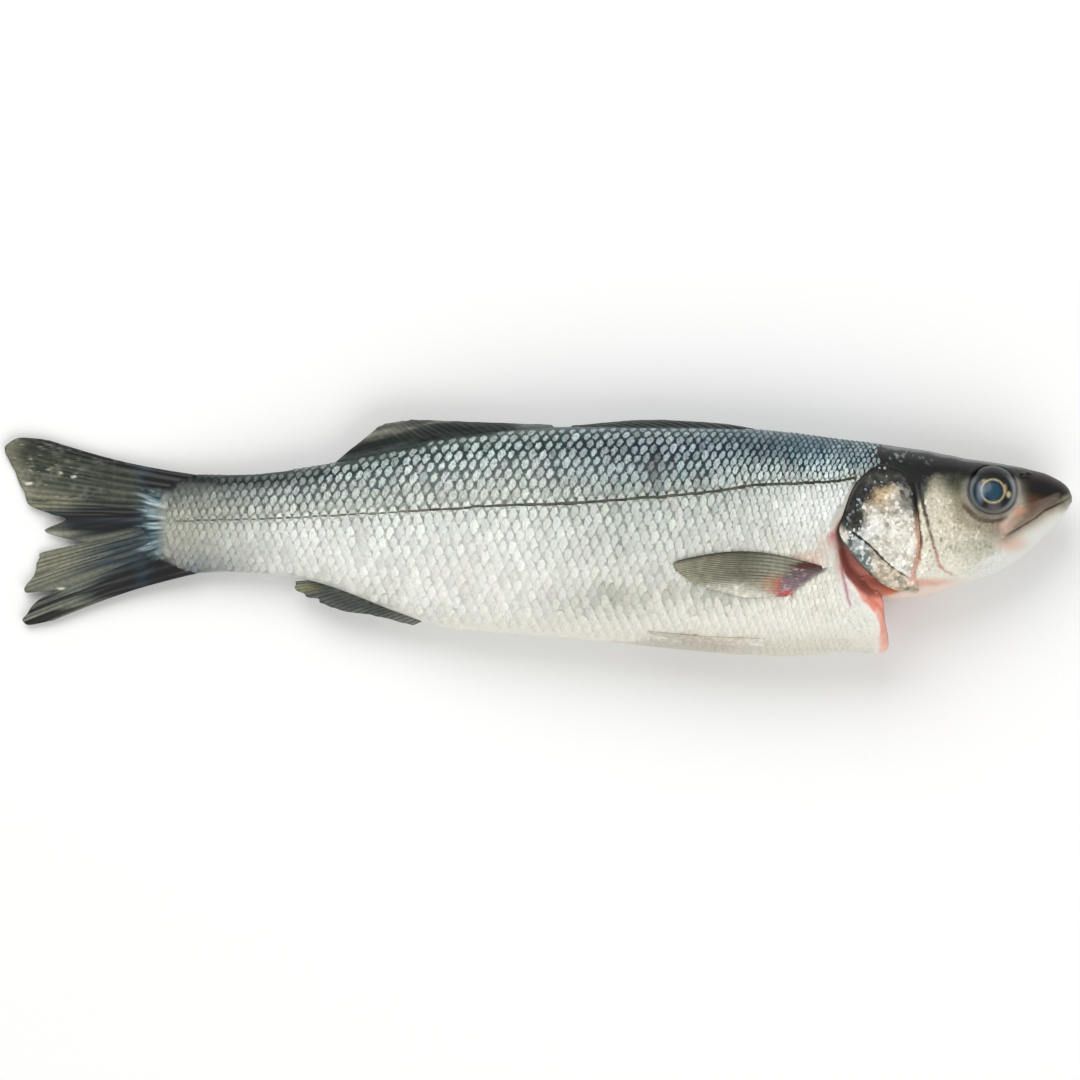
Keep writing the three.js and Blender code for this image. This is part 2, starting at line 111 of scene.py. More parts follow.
COVER_SEAM = [(82.6, 2.2), (81.2, 1), (76.1, -3), (71.8, -7.4), (66.8, -11.7), (61.8, -14.8)]
COVER_OUTLINE = [
    (58, -20.2), (59.2, -13), (57.6, -3), (58.2, 8), (59.5, 18), (63.5, 24.8), (73, 27.4), (81.4, 20.6),
    (85.6, 11), (87.6, 2.4), (84.6, -3.4), (81, -8.6), (75.4, -14.2), (69.6, -18.2), (63.8, -20),
]
CHAMBER_OUTLINE = [
    (62.5, -17.5), (62, -4), (64, 9), (72, 16), (82, 12), (89, 4), (88.4, -3), (86, -12.4), (82.4, -17),
    (77.4, -21.3), (72.8, -22.6), (66.5, -21.4),
]
SHOULDER_CREASE = [(90.4, 2), (87.6, -3), (87, -9), (86.2, -14), (84.8, -20.4), (83.4, -26.6)]
FLAP_EDGE = [
    (85.6, -11), (82.6, -17.6), (79.1, -23), (75.4, -28.2), (74.3, -31.8), (74.3, -36.4), (75.2, -45),
]
EYE_FOLDS = [[(41.1, 11.9), (38, 8.4), (34.8, 6.6), (30, 6), (27.1, 6.9)], [(22, 13), (24.5, 10.6), (
    27, 8.4,
)]]
NOSTRILS = [(16.6, 23.5), (19, 23.2)]
PECTORAL_ROOT = [(93.8, -11.2), (98, -12.6), (102.5, -15.6), (105.5, -19), (106.4, -21.4)]
VENT = 236  # the belly cut ends here
FIN_SHEATH = (106, 275)  # where the smooth strip along the ridge is wider, at the foot of the dorsal fins
FLOOR_ROOM = 0.4  # the skin stops this far above the floor, and its scales fill the rest

# Scales: how far apart they are along the fish, at distances behind the snout.
PITCH = [
    (70, 1.9), (95, 2), (115, 2.5), (135, 3.2), (155, 3.7), (200, 3.8), (230, 4), (258, 3.8), (285, 3.4),
    (312, 3.1), (330, 2.6), (349, 2.2),
]
ROW_SPACING = [(70, 1.35), (95, 1.32), (125, 1.16), (155, 1.03), (349, 1.03)]  # of rows, in pitches
SCALE_LENGTH = 1.75  # of a whole scale, in pitches: what is under the scales ahead of it is hidden
SCALE_REACH = 1.15  # half of the height of a scale, in row spacings
SCALE_SLOPE = 0.3  # how far a scale rises from one scale ahead of it to its free edge, in mm
SCALE_PROUD = 0.4  # how far its free edge stands off the skin, in mm
ROW_LEAN = 0.15  # how far a row is ahead of the one under it, as a share of the height between them
OVAL_AT = (0.765, 0.525)  # middle of the bright oval, as shares of the length and height of a scale
OVAL_SIZE = (0.155, 0.19)  # half of its length and height, as the same shares
GLOSS = 0.022  # light that the wet gloss adds to every colour under it
ROWS = range(-26, 20)  # of scales, counted up from the one on the lateral line
SCALED_TO = 340  # where the scales give way to the foot of the tail fin
SCALED_FROM = [
    (-50, 84), (-36, 85), (-26, 87), (-15, 90.5), (-6, 91.6), (3, 92.4), (8, 90.4), (14, 87), (19.3, 84),
    (21.8, 80.4), (24.9, 76.7), (28, 74.2), (45, 72.5),
]


# ---- Curves, fields and colours ---------------------------------------------------------------
def curve(points):
    """A smooth curve through points, as a function of their first coordinate."""
    at, to = np.array(points, float).T
    slope = np.gradient(to, at)
    slope[1:-1] = (to[2:] - to[:-2]) / (at[2:] - at[:-2])

    def value(x):
        x = np.clip(np.asarray(x, float), at[0], at[-1])
        i = np.clip(np.searchsorted(at, x) - 1, 0, len(at) - 2)
        span = at[i + 1] - at[i]
        t = (x - at[i]) / span
        rise = to[i + 1] - to[i]
        a, b = slope[i] * span, slope[i + 1] * span
        return to[i] + a * t + (3 * rise - 2 * a - b) * t**2 + (a + b - 2 * rise) * t**3

    return value


back, jaw, belly = curve(BACK_LINE), curve(JAW_LINE), curve(BELLY_LINE)
half_width, widest_level, middle_plane = curve(HALF_WIDTH), curve(WIDEST_LEVEL), curve(MIDDLE_PLANE)
roundness_above, roundness_below = curve(ROUNDNESS_ABOVE), curve(ROUNDNESS_BELOW)
roundness_of_jaw, lateral_line = curve(ROUNDNESS_OF_JAW), curve(LATERAL_LINE)
pitch, row_spacing, scaled_from = curve(PITCH), curve(ROW_SPACING), curve(SCALED_FROM)


def step(x, low, high):
    """0 below low and 1 above high, with a smooth rise between them. Low may be the larger."""
    t = np.clip((np.asarray(x, float) - low) / (high - low), 0, 1)
    return t * t * (3 - 2 * t)


def hump(x, width):
    return np.exp(-((np.asarray(x, float) / width) ** 2))


def blob(x, y, at, radii, soft=1.0, shift=0):
    """1 in the middle of an oval patch and 0 outside it; shift makes its edge uneven."""
    far = np.hypot((x - at[0]) / radii[0], (y + shift - at[1]) / radii[1])
    return step(far, 1 + 0.5 * soft, 1 - 0.5 * soft)


def mottle(x, y, size, seed):
    """A smooth random field between -1 and 1, with blotches about size across."""
    table = np.random.default_rng(seed).uniform(-1, 1, (64, 64))
    u, v = np.asarray(x) / size, np.asarray(y) / size
    i, j = np.floor(u).astype(int), np.floor(v).astype(int)
    s, t = step(u - i, 0, 1), step(v - j, 0, 1)
    row = [table[i % 64, k % 64] * (1 - s) + table[(i + 1) % 64, k % 64] * s for k in (j, j + 1)]
    return row[0] * (1 - t) + row[1] * t


def linear(code):
    """A colour written as sRGB hex, in linear light."""
    parts = [int(code[i : i + 2], 16) / 255 for i in (1, 3, 5)]
    return np.array([c / 12.92 if c <= 0.04045 else ((c + 0.055) / 1.055) ** 2.4 for c in parts])


def rgba(code):
    return (*linear(code), 1.0)


def under_gloss(colour):
    """The colour that skin needs for its wet gloss to bring it back to the one that is seen."""
    return np.clip((colour - GLOSS) / (1 - GLOSS), 0.003, 1)


def ramp(t, stops):
    """Colours for t, between stops of value: sRGB hex."""
    to = np.array([linear(code) for code in stops.values()])
    return np.stack([np.interp(t, list(stops), to[:, k]) for k in range(3)], -1)


def numbers(t, stops):
    """The same for plain numbers."""
    return np.interp(t, list(stops), list(stops.values()))


def mix(low, high, share):
    return low + (high - low) * np.asarray(share)[..., None]


def over(base, colour, share):
    """Lays a colour over others, as thickly as share says."""
    return mix(base, linear(colour) if isinstance(colour, str) else colour, np.clip(share, 0, 1))


def layers(x, y, base, rows):
    """Lays colours over one another: each with its share, and with its oval if it is only a patch."""
    for colour, share, *oval in rows:
        base = over(base, colour, share * blob(x, y, *oval) if oval else share)
    return base


def smooth_path(points, per_span=6, closed=False):
    """Points along a smooth line through the given ones."""
    p = np.array(points, float)
    n = len(p)
    spans = n if closed else n - 1
    t = np.linspace(0, 1, per_span, endpoint=False)[:, None]
    found = []
    for i in range(spans):
        pick = [(i + k) % n if closed else min(max(i + k, 0), n - 1) for k in (-1, 0, 1, 2)]
        a, b, c, d = p[pick]
        bend, twist = 2 * a - 5 * b + 4 * c - d, 3 * b - a - 3 * c + d
        found.append(0.5 * (2 * b + (c - a) * t + bend * t**2 + twist * t**3))
    if not closed:
        found.append(p[-1:])
    return np.concatenate(found)


def off_line(x, y, points):
    """Distance from a smooth line."""
    return from_line(x, y, points)[0]


def from_line(x, y, points, closed=False):
    """Distance from a smooth line, the share of it that is passed there, and the side it is on."""
    path = smooth_path(points, closed=closed)
    if closed:
        path = np.concatenate([path, path[:1]])
    nearest = np.full(np.shape(x), 1e9)
    share, side = np.zeros_like(nearest), np.zeros_like(nearest)
    for k, (a, b) in enumerate(zip(path[:-1], path[1:])):
        ab = b - a
        t = np.clip(((x - a[0]) * ab[0] + (y - a[1]) * ab[1]) / (ab @ ab), 0, 1)
        off_x, off_y = x - a[0] - t * ab[0], y - a[1] - t * ab[1]
        far = np.hypot(off_x, off_y)
        closer = far < nearest
        nearest = np.where(closer, far, nearest)
        share = np.where(closer, (k + t) / (len(path) - 1), share)
        side = np.where(closer, np.sign(ab[0] * off_y - ab[1] * off_x), side)
    return nearest, share, side


def inside(x, y, outline):
    """How far a place is inside a smooth closed outline, negative outside it."""
    path = smooth_path(outline, closed=True)
    odd = np.zeros(np.shape(x), bool)
    for a, b in zip(path, np.roll(path, -1, axis=0)):
        crosses = (a[1] > y) != (b[1] > y)
        rise = b[1] - a[1] if b[1] != a[1] else 1e-9
        odd ^= crosses & (x < (b[0] - a[0]) * (y - a[1]) / rise + a[0])
    return from_line(x, y, outline, closed=True)[0] * np.where(odd, 1, -1)


# ---- The surface of the fish ------------------------------------------------------------------
def lower_half(x, head):
    edge = np.where(head, jaw(x), belly(x))
    return edge, np.where(head, roundness_of_jaw(x), roundness_below(x))


def side_height(x, y):
    """Half of the thickness of the fish at a place on its side."""
    level = widest_level(x)
    bottom, round_below = lower_half(x, x < THROAT)
    upper = y > level
    edge = np.where(upper, back(x), bottom)
    n = np.where(upper, roundness_above(x), round_below)
    share = np.minimum(1, np.abs((y - level) / (edge - level)))
    return half_width(x) * (1 - share**n) ** (1 / n)


def lean(x, y):
    """The open front of the belly leans forward at its lower corner."""
    return 2.6 * np.sqrt(np.maximum(0, (-24 - y) / 20)) * hump(x - THROAT, 14)


def bare_skin(x, head, turn):
    """Places on the smooth skin for stations down the fish and turns round it, from the right side."""
    x, turn = np.meshgrid(x, turn, indexing="ij")
    level = widest_level(x)
    bottom, round_below = lower_half(x, head)
    up, out = np.sin(turn), np.cos(turn)
    n = np.where(up > 0, roundness_above(x), round_below)
    reach = np.where(up > 0, back(x) - level, level - bottom)
    y = level + reach * np.sign(up) * np.abs(up) ** (2 / n)
    z = middle_plane(x) + half_width(x) * np.sign(out) * np.abs(out) ** (2 / n)
    return np.stack([x, y, z], -1)


def outward(grid, ring):
    """Unit normals of a grid of places whose columns close into rings."""
    along = np.gradient(grid, axis=0)
    round_it = np.roll(grid, -1, 1) - np.roll(grid, 1, 1) if ring else np.gradient(grid, axis=1)
    n = np.cross(along, round_it)
    return n / np.maximum(np.linalg.norm(n, axis=-1, keepdims=True), 1e-9)


def relief(x, y, z):
    """How far the skin stands out of the smooth form: bones, folds, sockets and cuts."""
    from_middle = z - middle_plane(x)
    rise = 0.12 * mottle(x, y, 5, 1) * step(x, 4, 12)
    on_snout = step(x, 2, 6)
    rise -= 1.1 * hump(off_line(x, y, MOUTH), 0.45) * step(x, 27, 24) * on_snout
    far = off_line(x, y, JAW_PLATE)
    on_plate = inside(x, y, JAW_PLATE + JAW_PLATE_BACK)
    rise += (0.8 * step(on_plate, -0.2, 1) - 0.5 * hump(far - 0.5, 0.5)) * step(x, 4, 9)
    far = from_line(x, y, CHEEK_EDGE)
    low = step(y, 22, 15)
    rise += (0.6 * step(-far[0] * far[2], -0.4, 0.6) * hump(far[0], 6) - 0.6 * hump(far[0], 0.5)) * low
    rise -= 0.8 * hump(off_line(x, y, COVER_HINGE), 0.8) * low
    far = np.hypot(x - EYE[0], y - EYE[1])
    rise += 0.7 * hump(far - EYE_RADIUS - 0.9, 0.9) * step(y, 27, 20)
    rise -= 3.2 * step(far, EYE_RADIUS + 0.4, EYE_RADIUS - 1.2)
    for fold in EYE_FOLDS:
        rise -= 0.45 * hump(off_line(x, y, fold), 0.6)
    for place in NOSTRILS:
        rise -= 0.9 * blob(x, y, place, (0.75, 0.55), 0.8)
        rise += 0.25 * blob(x, y, place, (1.3, 1.1), 0.6)
    for k in range(4):  # the folds of the throat
        fold = [(38 + 5 * k, -14.5 - 1.2 * k), (50 + 3 * k, -17.5 - k), (62, -19.6 - 0.7 * k)]
        rise -= 0.22 * hump(off_line(x, y, fold), 0.5)
    hollow = inside(x, y, CHAMBER_OUTLINE)
    rise -= 8.5 * step(hollow, -0.2, 3.2)
    crease = off_line(x, y, SHOULDER_CREASE)
    rise -= 0.9 * hump(crease, 0.6) * step(y, -28, -24) * step(y, -8, -12)
    rise += 0.7 * hump(hollow + 1.7, 1.2) * (y < 2)
    edge, _, side = from_line(x, y, FLAP_EDGE)
    rise -= (0.2 + 1.1 * step(y, -38, -30)) * step(-edge * side, 0, 3.4) * step(y, -14, -19) * (x < 89)
    cut = hump(from_middle, 0.9 + 0.8 * step(x, 160, 80)) * step(y, belly(x) + 9, belly(x) + 5)
    cut *= step(x, VENT + 2, VENT - 22) * (x > THROAT - 0.5)
    return rise - (3.4 * step(x, VENT, 120) + 1.4) * cut


# ---- Paint: colours of the skin ----------------------------------------------------------------
def back_share(x, y):
    """0 on the lateral line and below it, and 1 on the ridge of the back."""
    return (y - lateral_line(x)) / (back(x) - lateral_line(x))


def dark_of_scales(x, y):
    """The skin round a scale: blue-black on the back, olive towards the lateral line, then silver."""
    rise = back_share(x, y)
    front = ramp(rise, {
        -1.6: "#d0cec1", -0.9: "#b5b7ad", -0.4: "#9da29b", -0.06: "#767d77", 0.1: "#46524e", 0.35: "#22383b",
        0.8: "#1a353c", 0.93: "#34454a", 1: "#596a6c",
    })
    rear = ramp(rise, {
        -1.6: "#dddbd0", -0.9: "#d3d5cc", -0.35: "#b9bdb6", -0.06: "#969b93", 0.14: "#6d756b", 0.4: "#435150",
        0.65: "#293c3c", 0.85: "#34423f", 1: "#4f5854",
    })
    colour = mix(front, rear, step(x, 168, 215))
    colour = layers(x, y, colour, [
        ("#2f4f5c", 0.8 * step(x, 118, 96) * step(x, 74, 88) * step(rise, 0.15, 0.5)),
        ("#c8cdc8", 0.7, (97, 10), (14, 9), 1.5),
        ("#26342f", 0.7 * step(x, 258, 282) * step(rise, 0.3, 0.6)),
    ])
    foot = ramp(y, {
        -12: "#5f6567", -8.5: "#83867f", -5: "#8f9189", -2: "#9b9c91", 10: "#7c7f75", 14.5: "#575d57",
        19: "#232b29",
    })
    return mix(colour, foot, step(x, 288, 333))


def bright_of_scales(x, y):
    """The silver middle of a scale."""
    rise = back_share(x, y)
    front = ramp(rise, {
        -2: "#e6e4d8", -0.9: "#d6d8cf", -0.35: "#ccd1ca", 0: "#bfc6bf", 0.15: "#aeb8b2", 0.4: "#b4c5c7",
        0.72: "#cddce1", 0.93: "#bccdce", 1: "#7c8b88",
    })
    rear = ramp(rise, {
        -2: "#ebeae0", -0.9: "#e8e9e1", -0.35: "#e4e8e1", 0: "#d6dbd3", 0.15: "#c9d0c6", 0.45: "#c8d3cd",
        0.7: "#cbd8d6", 0.88: "#b5c3bf", 1: "#7c8985",
    })
    colour = mix(front, rear, step(x, 168, 215))
    foot = ramp(y, {
        -12: "#7b8184", -8.5: "#9a9d98", -5: "#a5a69e", -2: "#b2b3a8", 10: "#aaac9f", 14.5: "#8b8f86",
        19: "#3c4541",
    })
    colour = layers(x, y, colour, [
        ("#6f7d7b", 0.8 * step(x, 278, 300) * step(rise, 0.5, 0.85)),
        ("#78929c", 0.85, (108, 38), (34, 8), 1.4),
        ("#dcecef", 0.7, (93, 26), (9, 6), 1.4),
        ("#f0f3ee", 0.8, (97, 10), (14, 11), 1.5),
        ("#d0dbd8", 0.6, (116, 23), (20, 5), 1.5),
        ("#d59b87", 0.6, (101, -8), (7, 2), 1.5),
        ("#cfaea0", 0.5, (94, -3), (3.4, 4), 1.5),
    ])
    return mix(colour, foot, step(x, 288, 333))


def hollow_flesh(x, y):
    """The red lining of the gill hollow, dark above and orange-red where the throat is thin."""
    streak = mottle(x * 0.5 + y * 0.5, y - x * 0.6, 1.6, 4)
    low = x - 0.55 * (y + 14) + 2.2 * streak
    lit = ramp(low, {
        65: "#ecb096", 69: "#e57e58", 74: "#d98468", 78: "#bf7868", 83: "#a3685f", 90: "#98605a",
    })
    return over(lit, "#b3958b", 0.9 * step(y, -6, -2.5))


def under_pelvic_fin(x, y):
    """Where the belly is dull, at the lower edge of the folded pelvic fin."""
    return blob(x, y, (146, -40.5), (24, 3.6), 1.3)


def trunk_paint(x, y, z):
    rise = back_share(x, y)
    grain, fine = mottle(x, y, 1.1, 2), mottle(x, y, 0.7, 3)
    colour = dark_of_scales(x, y)
    plain = ramp(y, {-44: "#d6d0c0", -40: "#e5e1d4", -34: "#eae8dc", -26: "#e3e3d9", -14: "#d6d9d2"})
    colour = layers(x, y, colour, [
        (plain, step(rise, -0.3, -0.8) * step(x, 330, 300)),
        ("#bdb6ab", step(x, 96, 88) * step(y, -8, 2) * step(y, 23, 18) * (0.8 + 0.2 * grain)),
        ("#a9aba0", 0.6 * step(grain + fine, 0.3, 1), (85, -27), (8, 9), 1.4),
        ("#b6b6aa", 0.5 * (0.6 + 0.4 * grain), (160, -23), (50, 6), 1.4),
        ("#cdc3ad", 0.4 * hump(y - belly(x) - 5.5, 1.6) * step(x, 88, 110) * step(x, 165, 140)),
        ("#bcb4a6", 0.8 * under_pelvic_fin(x, y)),
        ("#c98d86", 0.6, (93.5, -1.5), (3.4, 3.4), 1.5, 0.6 * grain),
        ("#e5dcb4", 0.8, (96.4, -1.6), (1.6, 2.2), 1.3, 0.6 * fine),
        ("#b9715f", 0.7, (101, -8.6), (4.6, 1.3), 1.5),
    ])
    # The smooth rim of the shoulder, with a mauve fold down its middle.
    far, share, side = from_line(x, y, SHOULDER_CREASE)
    tapered = 0.15 + np.sqrt(np.clip(1 - (2 * share - 1) ** 4, 0, 1))
    rim = ramp(y, {-26: "#efeae4", -17: "#e6dcd4", -11: "#d0b9ae", -4: "#bfa397", 2: "#b98f88"})
    colour = over(colour, rim, 0.95 * step(far + 0.3 * grain, 2.9 * tapered, 1.3 * tapered))
    pink = step(np.abs(far - 1), 1.1 * tapered, 0.1) * (side < 0) * step(y, -16, -8)
    colour = layers(x, y, colour, [
        ("#d9a199", 0.55 * pink),
        ("#c4767a", 0.8, (89.4, 1), (1.9, 1.3), 1.4),
        ("#a5667c", 0.85 * step(far, 0.75 * tapered, 0.05) * step(y, -7, -13)),
    ])
    far, share, _ = from_line(x, y, PECTORAL_ROOT)
    root = ramp(share, {0: "#4d3a37", 0.35: "#6d5054", 0.7: "#8a707a", 0.9: "#b0594f"})
    colour = layers(x, y, colour, [
        (root, 0.85 * step(far + 0.5 * grain, 2.6, 1)),
        ("#262b2a", step(x + 1.6 * grain, 76.5, 74) * step(y, 21, 25)),
        (tail_root_paint(x, y), step(x, 333, 341)),
    ])
    # Raw flesh: the walls of the gill hollow, and the cut front edge of the belly.
    edge, share, side = from_line(x, y, FLAP_EDGE)
    ahead = np.where(x < 89, -edge * side, -9)
    streak = mottle(y * 0.35 + x * 0.9, z * 0.6, 1.2, 5)
    raw = ramp(y + 3 * streak, {
        -44: "#efc7b4", -39: "#ecb8a6", -34: "#e5a294", -29: "#ebb5a5", -25: "#e08f7c", -20: "#e8a99c",
        -16: "#d07c6e",
    })
    raw = over(raw, "#d46450", 0.65 * hump(ahead - 3, 0.9) * step(y, -34, -30))
    colour = layers(x, y, colour, [
        ("#f0e6e0", 0.8 * step(ahead, -2.4, -0.6) * step(y, -14, -18)),
        (raw, step(ahead + 0.3 * streak, -0.3, 0.6) * step(y, -12, -16)),
    ])
    hollow = inside(x, y, CHAMBER_OUTLINE)
    return over(colour, hollow_flesh(x, y), step(hollow, -0.5, 0.4))


def tail_root_paint(x, y):
    """Silver-blue skin in rays over the foot of the tail fin."""
    ray = np.arctan2(y - 5.5, x - 316)
    streak = mottle(32 * ray, x / 9, 1, 6) + 0.5 * mottle(70 * ray, x / 5, 1, 7)
    dusty = mottle(x, y, 1.3, 8)
    colour = ramp(streak, {-0.7: "#364449", -0.1: "#5d6f73", 0.4: "#84989c", 1: "#bdcbcd"})
    colour = over(colour, ramp(dusty, {-0.8: "#7f8178", 0.2: "#a5a79c", 0.8: "#c3c4ba"}), 0.9 * step(
        x + 1.8 * dusty, 343.5, 339,
    ))
    edge = step(y + dusty, 14.5, 19) + step(y - 0.25 * (x - 335) + dusty, -7, -10.5)
    colour = over(colour, "#1d2527", edge)
    return over(colour, "#39434a", step(x, 343 + 3 * streak, 351 + 3 * streak))


def head_paint(x, y):
    top = 24.2 - 0.02 * np.maximum(0, 50 - x) - 7.5 * hump(x - 6, 11)
    fine, grain = mottle(x, y, 1.2, 12), mottle(x, y, 3, 11)
    tiny = mottle(x, y, 0.7, 13)
    colour = ramp(y, {
        -24: "#e2d3c6", -14: "#e6e2d4", -4: "#dfdbc8", 8: "#d8d2bd", 16: "#cdc7b0", 23: "#a19c88",
    })
    colour = colour * (1 + 0.1 * (fine + 0.7 * tiny) * step(y + 0.62 * x, 14, 24))[..., None]
    colour = layers(x, y, colour, [
        ("#cdc29c", 0.45 * (0.7 + 0.3 * fine), (44, 4), (8, 6), 1.6),
        ("#b5b29f", 0.85, (34, -2.6), (9, 5.4), 1.7, grain),
        # painted shade below the eye, behind the plate of the upper jaw
        ("#857a69", 0.85, (29, 3.6), (5, 4.2), 1.7),
        ("#8a8069", 0.7, (36, 6.4), (5.4, 3.6), 1.6),
        ("#e2e3dd", step(y + 0.62 * x, 16, 10) * step(x, 46, 28)),
        # The dark of the back comes down over the crown, to the top of the eye and of the cheek.
        ("#6d6d5b", 0.75 * step(y + 0.9 * grain + 0.4 * fine, top - 8, top - 3) * step(x, 56, 46)),
        ("#1e2422", step(y + 1.2 * grain + 0.6 * fine, top - 4, top + 1)),
        ("#2c302b", 0.85, (43.4, 20.4), (5, 5), 1.6, grain),
        ("#716a52", 0.75, (42.4, 12.6), (3.4, 6.4), 1.7, 0.7 * fine),
    ])
    spots = step(fine + 0.8 * tiny, 0.2, 1)
    colour = layers(x, y, colour, [
        ("#697063", 0.75 * spots, (36.5, -4.4), (6, 2.8), 1.4),
        ("#dfb29d", 0.65, (22.6, -2.2), (5, 2.8), 1.5),
    ])
    # The bony plate of the upper jaw, and the folds between it and the eye, darkened with painted shade.
    plate = step(inside(x, y, JAW_PLATE + JAW_PLATE_BACK), -0.3, 0.8)
    snout = step(x, 24, 14) * step(y + 0.62 * x, 17, 20)
    colour = layers(x, y, colour, [
        ("#37302a", 0.92 * snout),
        ("#29241f", 0.8, (12, 18), (7, 3.4), 1.4),
        ("#5f3f31", 0.7, (14.6, 14), (3.6, 2), 1.5, 0.5 * fine),
    ])
    bone = ramp(x + fine, {
        6: "#5b554e", 12: "#6f6056", 16: "#6d5547", 19: "#8b7462", 22: "#a08471", 26: "#a8978a",
    })
    colour = layers(x, y, colour, [
        (bone, 0.85 * plate),
        ("#cf9178", 0.6, (21.2, 10.2), (2.6, 1.5), 1.5, 0.4 * fine),
        ("#c9a597", 0.6, (26.4, 4.6), (2.4, 3), 1.5),
        ("#766a5f", 0.7 * hump(off_line(x, y, [(7, 13.6), (14, 9), (21, 3.6)]) - 1, 0.7) * plate),
    ])
    lip = from_line(x, y, MOUTH)
    colour = layers(x, y, colour, [
        ("#95877b", 0.9 * hump(lip[0], 2.6) * (lip[2] < 0) * step(x, 3, 8)),
        ("#574b43", 0.85 * hump(lip[0], 0.4 + 0.2 * fine) * step(x, 26, 22)),
    ])
    # Painted shade: dark brown lines along the creases under the eye.
    for fold in EYE_FOLDS:
        colour = over(colour, "#4a3f33", 0.8 * hump(off_line(x, y, fold), 0.7))
    far = np.hypot(x - EYE[0], y - EYE[1])
    colour = layers(x, y, colour, [
        ("#83807c", 0.9 * hump(far - EYE_RADIUS - 0.3, 1) * step(y, 26, 21)),
        # painted shade in the crease under the eye
        ("#554838", 0.9 * hump(far - EYE_RADIUS - 1.9, 0.9) * step(y, 15, 10) * step(x, 22, 27)),
        ("#191e1d", 0.95 * hump(far - EYE_RADIUS - 0.5, 2.6) * step(y, 20, 24)),
        ("#2a2e2c", 0.7, (30, 27), (8, 2), 1.2),
    ])
    for place in NOSTRILS:
        colour = over(colour, "#1a1c1a", blob(x, y, place, (0.8, 0.6), 0.8))
    # Pale flecks on the nape, and a painted highlight: a lighter band along the top edge of the crown, where
    # its round top catches the light.
    nape = blob(x, y, (68, 29.6), (14, 3.4), 1.2) * step(fine + 0.9 * tiny, 0.6, 1.1)
    colour = layers(x, y, colour, [
        ("#8e9892", 0.8 * nape),
        ("#4a4a3e", 0.6 * step(-fine, 0, 0.8), (68, 26.6), (7, 2), 1.4),
        # painted highlight along the top edge of the crown
        ("#8b918d", 0.6 * step(back(x) - y + 0.4 * grain, 1.7, 0.5) * step(x, 14, 26)),
    ])
    # Behind the cheek: the edge is dark above, partly with painted shade under the raised edge of the cheek,
    # and red where the skin is thin below.
    far, share, _ = from_line(x, y, CHEEK_EDGE)
    fold = ramp(share, {0: "#1f2322", 0.4: "#2d2a26", 0.58: "#6a443d", 0.72: "#a8655b", 1: "#dca595"})
    colour = over(colour, "#2c302d", step(y + grain, 15, 21) * step(y + grain, 31, 26) * step(x, 54, 57))
    wide = numbers(share, {0: 1.1, 0.25: 0.75, 0.5: 0.45, 1: 0.3})
    colour = over(colour, fold, 0.9 * step(far + 0.3 * fine, wide + 0.35, wide - 0.3))
    far, share, _ = from_line(x, y, COVER_HINGE)
    hinge = ramp(share, {0: "#15181a", 0.5: "#2b2320", 0.66: "#7b4c40", 0.85: "#cf998a"})
    colour = layers(x, y, colour, [
        (hinge, 0.9 * step(far + 0.3 * fine, 1.7 - 1.2 * share, 0.9 - 0.7 * share)),
        ("#262a27", 0.9, (58.4, 21), (4.6, 6), 1.1),
        ("#e39d86", 0.7, (56, -17.4), (9, 1.9), 1.5, 0.6 * grain),
        ("#ecd2c4", 0.6 * step(y - jaw(x), 4.5, 2) * step(x, 38, 50)),
    ])
    return over(colour, hollow_flesh(x, y), step(inside(x, y, CHAMBER_OUTLINE), -0.7, 0.3))


